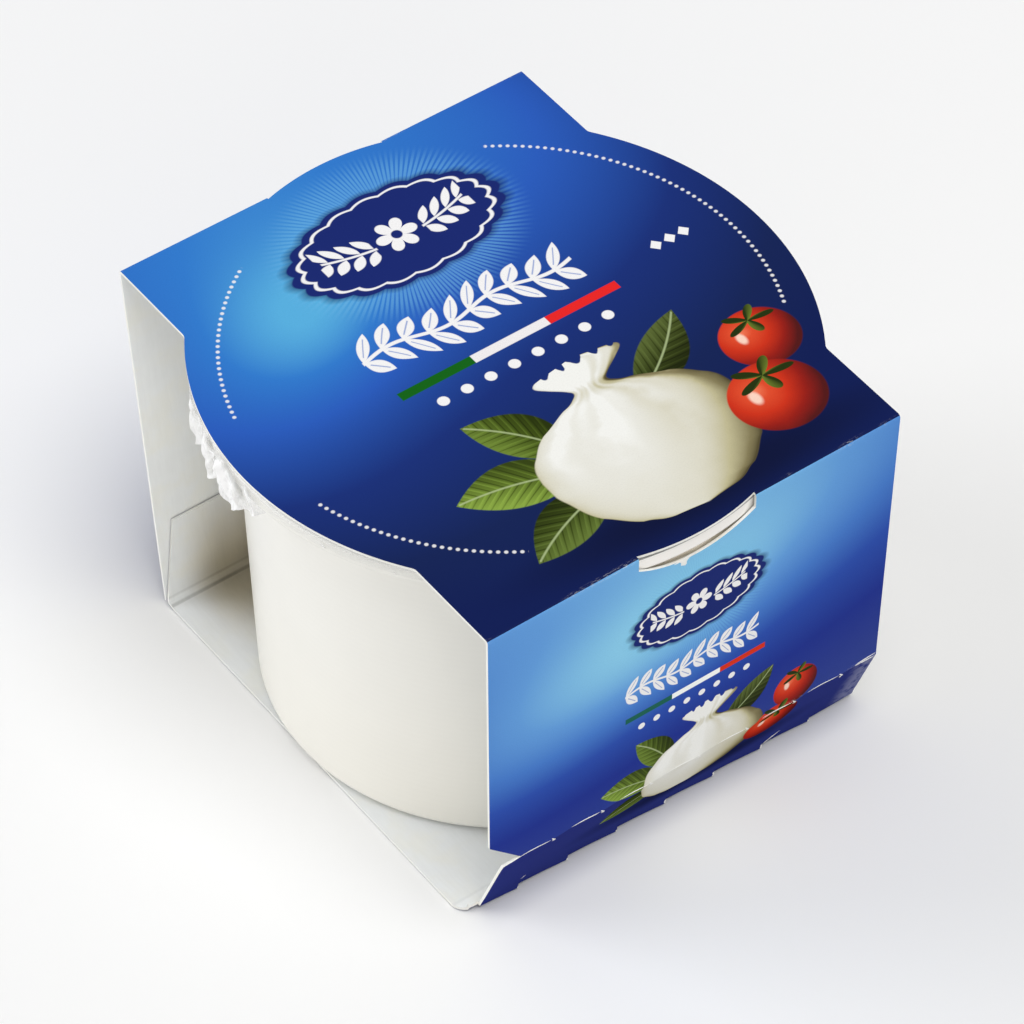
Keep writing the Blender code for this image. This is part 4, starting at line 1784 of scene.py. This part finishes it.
@dataclass(frozen=True)
class BoardFinish:
    """Bare board: grey-white, mottled, with faint fibres that run up the blank."""

    name: str
    colour: Colour
    fibre: float = 0.05
    mottle: float = 0.05
    relief: float = 0.02 * MM
    # Pressed crease lines, each an s and how much darker it is drawn: painted shade in the grooves.
    crease_shade_lines: tuple[tuple[float, float], ...] = ()
    # The s of the fold whose enclosed corner behind the tub gets painted shade and a painted warm tint
    # of light bounced off the tub.
    corner: float = 0.0

    def shade(self, x: Value, s: Value, level: Value) -> Value:
        """Paints shade into the pressed crease lines, and into the enclosed corner behind the tub where
        little light reaches.

        Args:
            x: across the blank.
            s: along the blank.
            level: the brightness so far.

        Returns:
            The brightness.
        """
        # Painted shade: each pressed crease is drawn darker along its line.
        for place, depth in self.crease_shade_lines:
            level = level - abs(s - place).rise(0.50, 0.06) * depth
        # Painted shade: darker in the corner enclosed by the tub, the flap and the base, most near the
        # fold.
        if self.corner:
            near_tub = 1.0 - abs(x).rise(28.0, 22.0) * 0.6
            corner_shade = abs(x).rise(37.0, 25.0) * near_tub * abs(s - self.corner).rise(26.0, 4.0)
            deep = abs(x).rise(36.0, 27.0) * abs(s - self.corner).rise(8.0, 1.0)
            level = level - corner_shade * 0.28 - deep * 0.16
        return level

    def material(self) -> bpy.types.Material:
        """Builds the finish on the blank's own layout.

        Returns:
            The material.
        """
        material, tree = new_material(self.name)
        flat = blank_layout(tree)
        x, s, _ = tree.axes(flat)
        fibres = tree.noise(tree.stretched(flat, (1.0, 0.12, 1.0)), 1.5, 4.0, 0.65)
        cloud = tree.noise(flat, 0.16, 3.0)
        speck = tree.noise(flat, 2.3, 2.0)
        level = (fibres - 0.5) * 2 * self.fibre + (cloud - 0.5) * 2 * self.mottle + 1.0
        level = self.shade(x, s, level - speck.rise(0.70, 0.76) * 0.05)
        warm = toned(self.colour, (0.985, 0.97, 0.925))
        board = tree.mix(self.colour, warm, cloud.rise(0.4, 0.7))
        # Painted warm shade: the enclosed corner is tinted brown, as light bounced off the tub would
        # tint it.
        if self.corner:
            corner_shade = abs(x).rise(36.0, 25.0) * abs(s - self.corner).rise(24.0, 3.0)
            board = tree.mix(board, (0.66, 0.56, 0.38), corner_shade * 0.55)
            deep = abs(x).rise(34.0, 27.0) * abs(s - self.corner).rise(14.0, 2.0)
            board = tree.mix(board, (0.62, 0.53, 0.32), deep * 0.45)
        tree.surface(
            {
                "Base Color": tree.tint(board, level),
                "Roughness": (0.72 + (fibres - 0.5) * 0.3).share(),
                "Specular IOR Level": 0.25,
                "Normal": tree.bump(fibres, self.relief, 0.7),
            }
        )
        return material


@dataclass(frozen=True)
class PlasticFinish:
    """Satin white plastic with a trace of the mould's turning and of waviness."""

    name: str
    colour: Colour
    roughness: float = 0.26
    ring_pitch: float = 1.3 * MM

    def material(self) -> bpy.types.Material:
        """Builds the finish on the piece's own place.

        Returns:
            The material.
        """
        material, tree = new_material(self.name)
        place = tree.place()
        _, _, z = tree.axes(place)
        cloud = tree.noise(place, 55.0, 2.0)
        grain = tree.noise(place, 1500.0, 2.0)
        ring = (z * (2 * pi / self.ring_pitch) + cloud * 3.0).sine()
        level = 1.0 + (cloud - 0.5) * 0.05 + ring * 0.003
        # Painted warm shade: the plastic's colour warms a little towards the bottom, where the sleeve
        # shades it.
        low = toned(self.colour, (1.0, 0.99, 0.965))
        plastic = tree.mix(self.colour, low, z.rise(45 * MM, 4 * MM))
        tree.surface(
            {
                "Base Color": tree.tint(plastic, level),
                "Roughness": (self.roughness + (grain - 0.5) * 0.03).share(),
                "Specular IOR Level": 0.5,
                "Normal": tree.bump(cloud, 0.25 * MM, 0.5),
            }
        )
        return material


@dataclass(frozen=True)
class FilmFinish:
    """Thin clear film: nearly unseen where tight, milky and glossy where it is gathered."""

    name: str
    clear: float = 0.14
    milky: float = 0.88

    def material(self) -> bpy.types.Material:
        """Builds the finish from the piece's own gather and taut attributes.

        Returns:
            The material.
        """
        material, tree = new_material(self.name)
        gather = tree.value(tree.node("ShaderNodeAttribute", attribute_name="gather").outputs["Fac"])
        taut = tree.value(tree.node("ShaderNodeAttribute", attribute_name="taut").outputs["Fac"])
        place = tree.place()
        _, _, z = tree.axes(place)
        crease = tree.noise(tree.stretched(place, (1.0, 1.0, 0.35)), 900.0, 4.0, 0.6)
        ridge = 1.0 - abs(crease - 0.5) * 9.0
        cover = self.clear + gather * (self.milky - self.clear) + ridge.share() * gather * 0.3 + taut
        white = tree.mix((0.90, 0.905, 0.91), (0.99, 0.99, 0.985), (gather * 1.5).share())
        # Painted warm shade: where the film is drawn taut at the slots it is tinted cream, and tan below
        # the rim's lip.
        slot_warm_shade = tree.mix((0.94, 0.86, 0.71), (0.98, 0.95, 0.90), z.rise(62.5 * MM, 64.5 * MM))
        tree.surface(
            {
                "Base Color": tree.mix(white, slot_warm_shade, taut.share()),
                "Alpha": cover.share(),
                "Roughness": (0.12 + gather * 0.25 + (crease - 0.5) * 0.2).share(),
                "Specular IOR Level": 0.6,
                "Normal": tree.bump(crease * (gather + 0.05), 0.05 * MM, 0.7),
            }
        )
        return material


# ---------------------------------------------------------------------------------------------
# Studio
# ---------------------------------------------------------------------------------------------


@dataclass
class Studio:
    """A pale floor, soft lights and the camera."""

    azimuth: float = -36.507
    elevation: float = 46.770
    distance: float = 821.7 * MM
    lens: float = 190.53
    target: tuple[float, float, float] = (-0.8 * MM, -2.9 * MM, 34.0 * MM)
    sensor: float = 36.0
    surround: float = 0.35
    light_width: float = 36.0
    floor_half: float = 2.0
    floor_height: float = -0.1 * MM

    def build(self) -> None:
        """Sets up the whole studio."""
        self.add_floor()
        self.add_lights()
        self.add_camera()

    def add_floor(self) -> None:
        """A wide pale floor, a hair below the part's foot so that the two never coincide."""
        half, low = self.floor_half, self.floor_height
        corners = [(-half, -half, low), (half, -half, low), (half, half, low), (-half, half, low)]
        mesh = bpy.data.meshes.new("floor")
        mesh.from_pydata(corners, [], [(0, 1, 2, 3)])
        floor = bpy.data.objects.new("floor", mesh)
        bpy.context.scene.collection.objects.link(floor)
        material, tree = new_material("pale_floor")
        tree.surface({"Base Color": (0.9, 0.9, 0.9), "Roughness": 0.9, "Specular IOR Level": 0.0})
        floor.data.materials.append(material)

    def add_lights(self) -> None:
        """An even pale surround and soft lights."""
        world = bpy.data.worlds.new("studio")
        bpy.context.scene.world = world
        world.use_nodes = True
        background = world.node_tree.nodes["Background"]
        background.inputs["Color"].default_value = (1.0, 1.0, 1.0, 1.0)
        background.inputs["Strength"].default_value = self.surround
        cool, warm, even = (0.985, 1.0, 1.03), (1.0, 0.95, 0.85), (1.0, 1.0, 1.0)
        self.add_sun("key", azimuth=-135.0, elevation=18.0, strength=1.43, colour=cool)
        self.add_sun("top", azimuth=0.0, elevation=70.0, strength=1.68, colour=even)
        self.add_sun("front", azimuth=-30.0, elevation=18.0, strength=0.30, colour=warm)

    def add_sun(
        self, name: str, azimuth: float, elevation: float, strength: float, colour: Colour
    ) -> None:
        """One broad distant light.

        Args:
            name: the light's name.
            azimuth: degrees from the front towards +X.
            elevation: degrees above the floor.
            strength: its strength.
            colour: its colour.
        """
        light = bpy.data.lights.new(name, "SUN")
        light.energy = strength
        light.color = colour
        light.angle = radians(self.light_width)
        lamp = bpy.data.objects.new(name, light)
        bpy.context.scene.collection.objects.link(lamp)
        lamp.rotation_euler = self.facing(azimuth, elevation).to_track_quat("Z", "Y").to_euler()

    @staticmethod
    def facing(azimuth: float, elevation: float) -> Vector:
        """The direction towards a viewer at an azimuth from the front and an elevation."""
        a, e = radians(azimuth), radians(elevation)
        return Vector((sin(a) * cos(e), -cos(a) * cos(e), sin(e)))

    def add_camera(self) -> None:
        """The camera, looking at the target from its azimuth and elevation."""
        camera = bpy.data.cameras.new("camera")
        camera.lens = self.lens
        camera.sensor_width = self.sensor
        camera.clip_start = 0.05
        camera.clip_end = 20.0
        stand = bpy.data.objects.new("camera", camera)
        bpy.context.scene.collection.objects.link(stand)
        back = self.facing(self.azimuth, self.elevation)
        stand.location = Vector(self.target) + back * self.distance
        stand.rotation_euler = back.to_track_quat("Z", "Y").to_euler()
        bpy.context.scene.camera = stand
        bpy.context.scene.view_settings.view_transform = "Standard"


def main() -> None:
    """Builds every piece and reports it."""
    logging.basicConfig(level=logging.INFO, format="%(name)s: %(message)s")
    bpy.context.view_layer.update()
    sleeve_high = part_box("sleeve")[1]
    tub_low, tub_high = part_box("tub")
    film_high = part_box("lid_film")[1]
    sleeve = Sleeve(height=sleeve_high.z)
    board = sleeve.build()
    folds = tuple(sleeve.path.fold_middle(panel) / MM for panel in list(Panel)[1:])
    printed = PrintedFinish("printed_face", folds, sleeve.top_middle / MM)
    base_back, base_front = folds[:2]
    # Painted shade along the flap's foot and the base's front crease, and in the corner behind the tub.
    crease_shade_lines = ((base_back - 1.15, 0.13), (base_back + 1.2, 0.30), (base_front - 2.4, 0.07))
    inner = BoardFinish("board_inside", (0.84, 0.86, 0.87), crease_shade_lines=crease_shade_lines, corner=base_back)
    edge = BoardFinish("cut_edge", (0.88, 0.88, 0.85), fibre=0.10)
    sleeve.dress(board, [printed.material(), inner.material(), edge.material()])
    tub = Tub(rim_radius=tub_high.x, top=tub_high.z, base=tub_low.z)
    plastic = PlasticFinish("white_plastic", (0.88, 0.868, 0.815))
    shell = tub.build(plastic.material())
    film = LidFilm(
        radius=film_high.x - 0.1 * MM, top=film_high.z, rim_radius=tub_high.x,
        half_depth=sleeve.top_depth / 2 - 1.6 * MM,
    )
    cover = film.build(FilmFinish("clear_film_skin").material())
    torn = TornCuts(sleeve).build(BoardFinish("torn_fibre", (0.90, 0.895, 0.87), fibre=0.12).material())
    Studio().build()
    for piece in (board, torn, shell, cover):
        log.info("%s: %d faces", piece.name, len(piece.data.polygons))


if __name__ == "__main__":
    main()
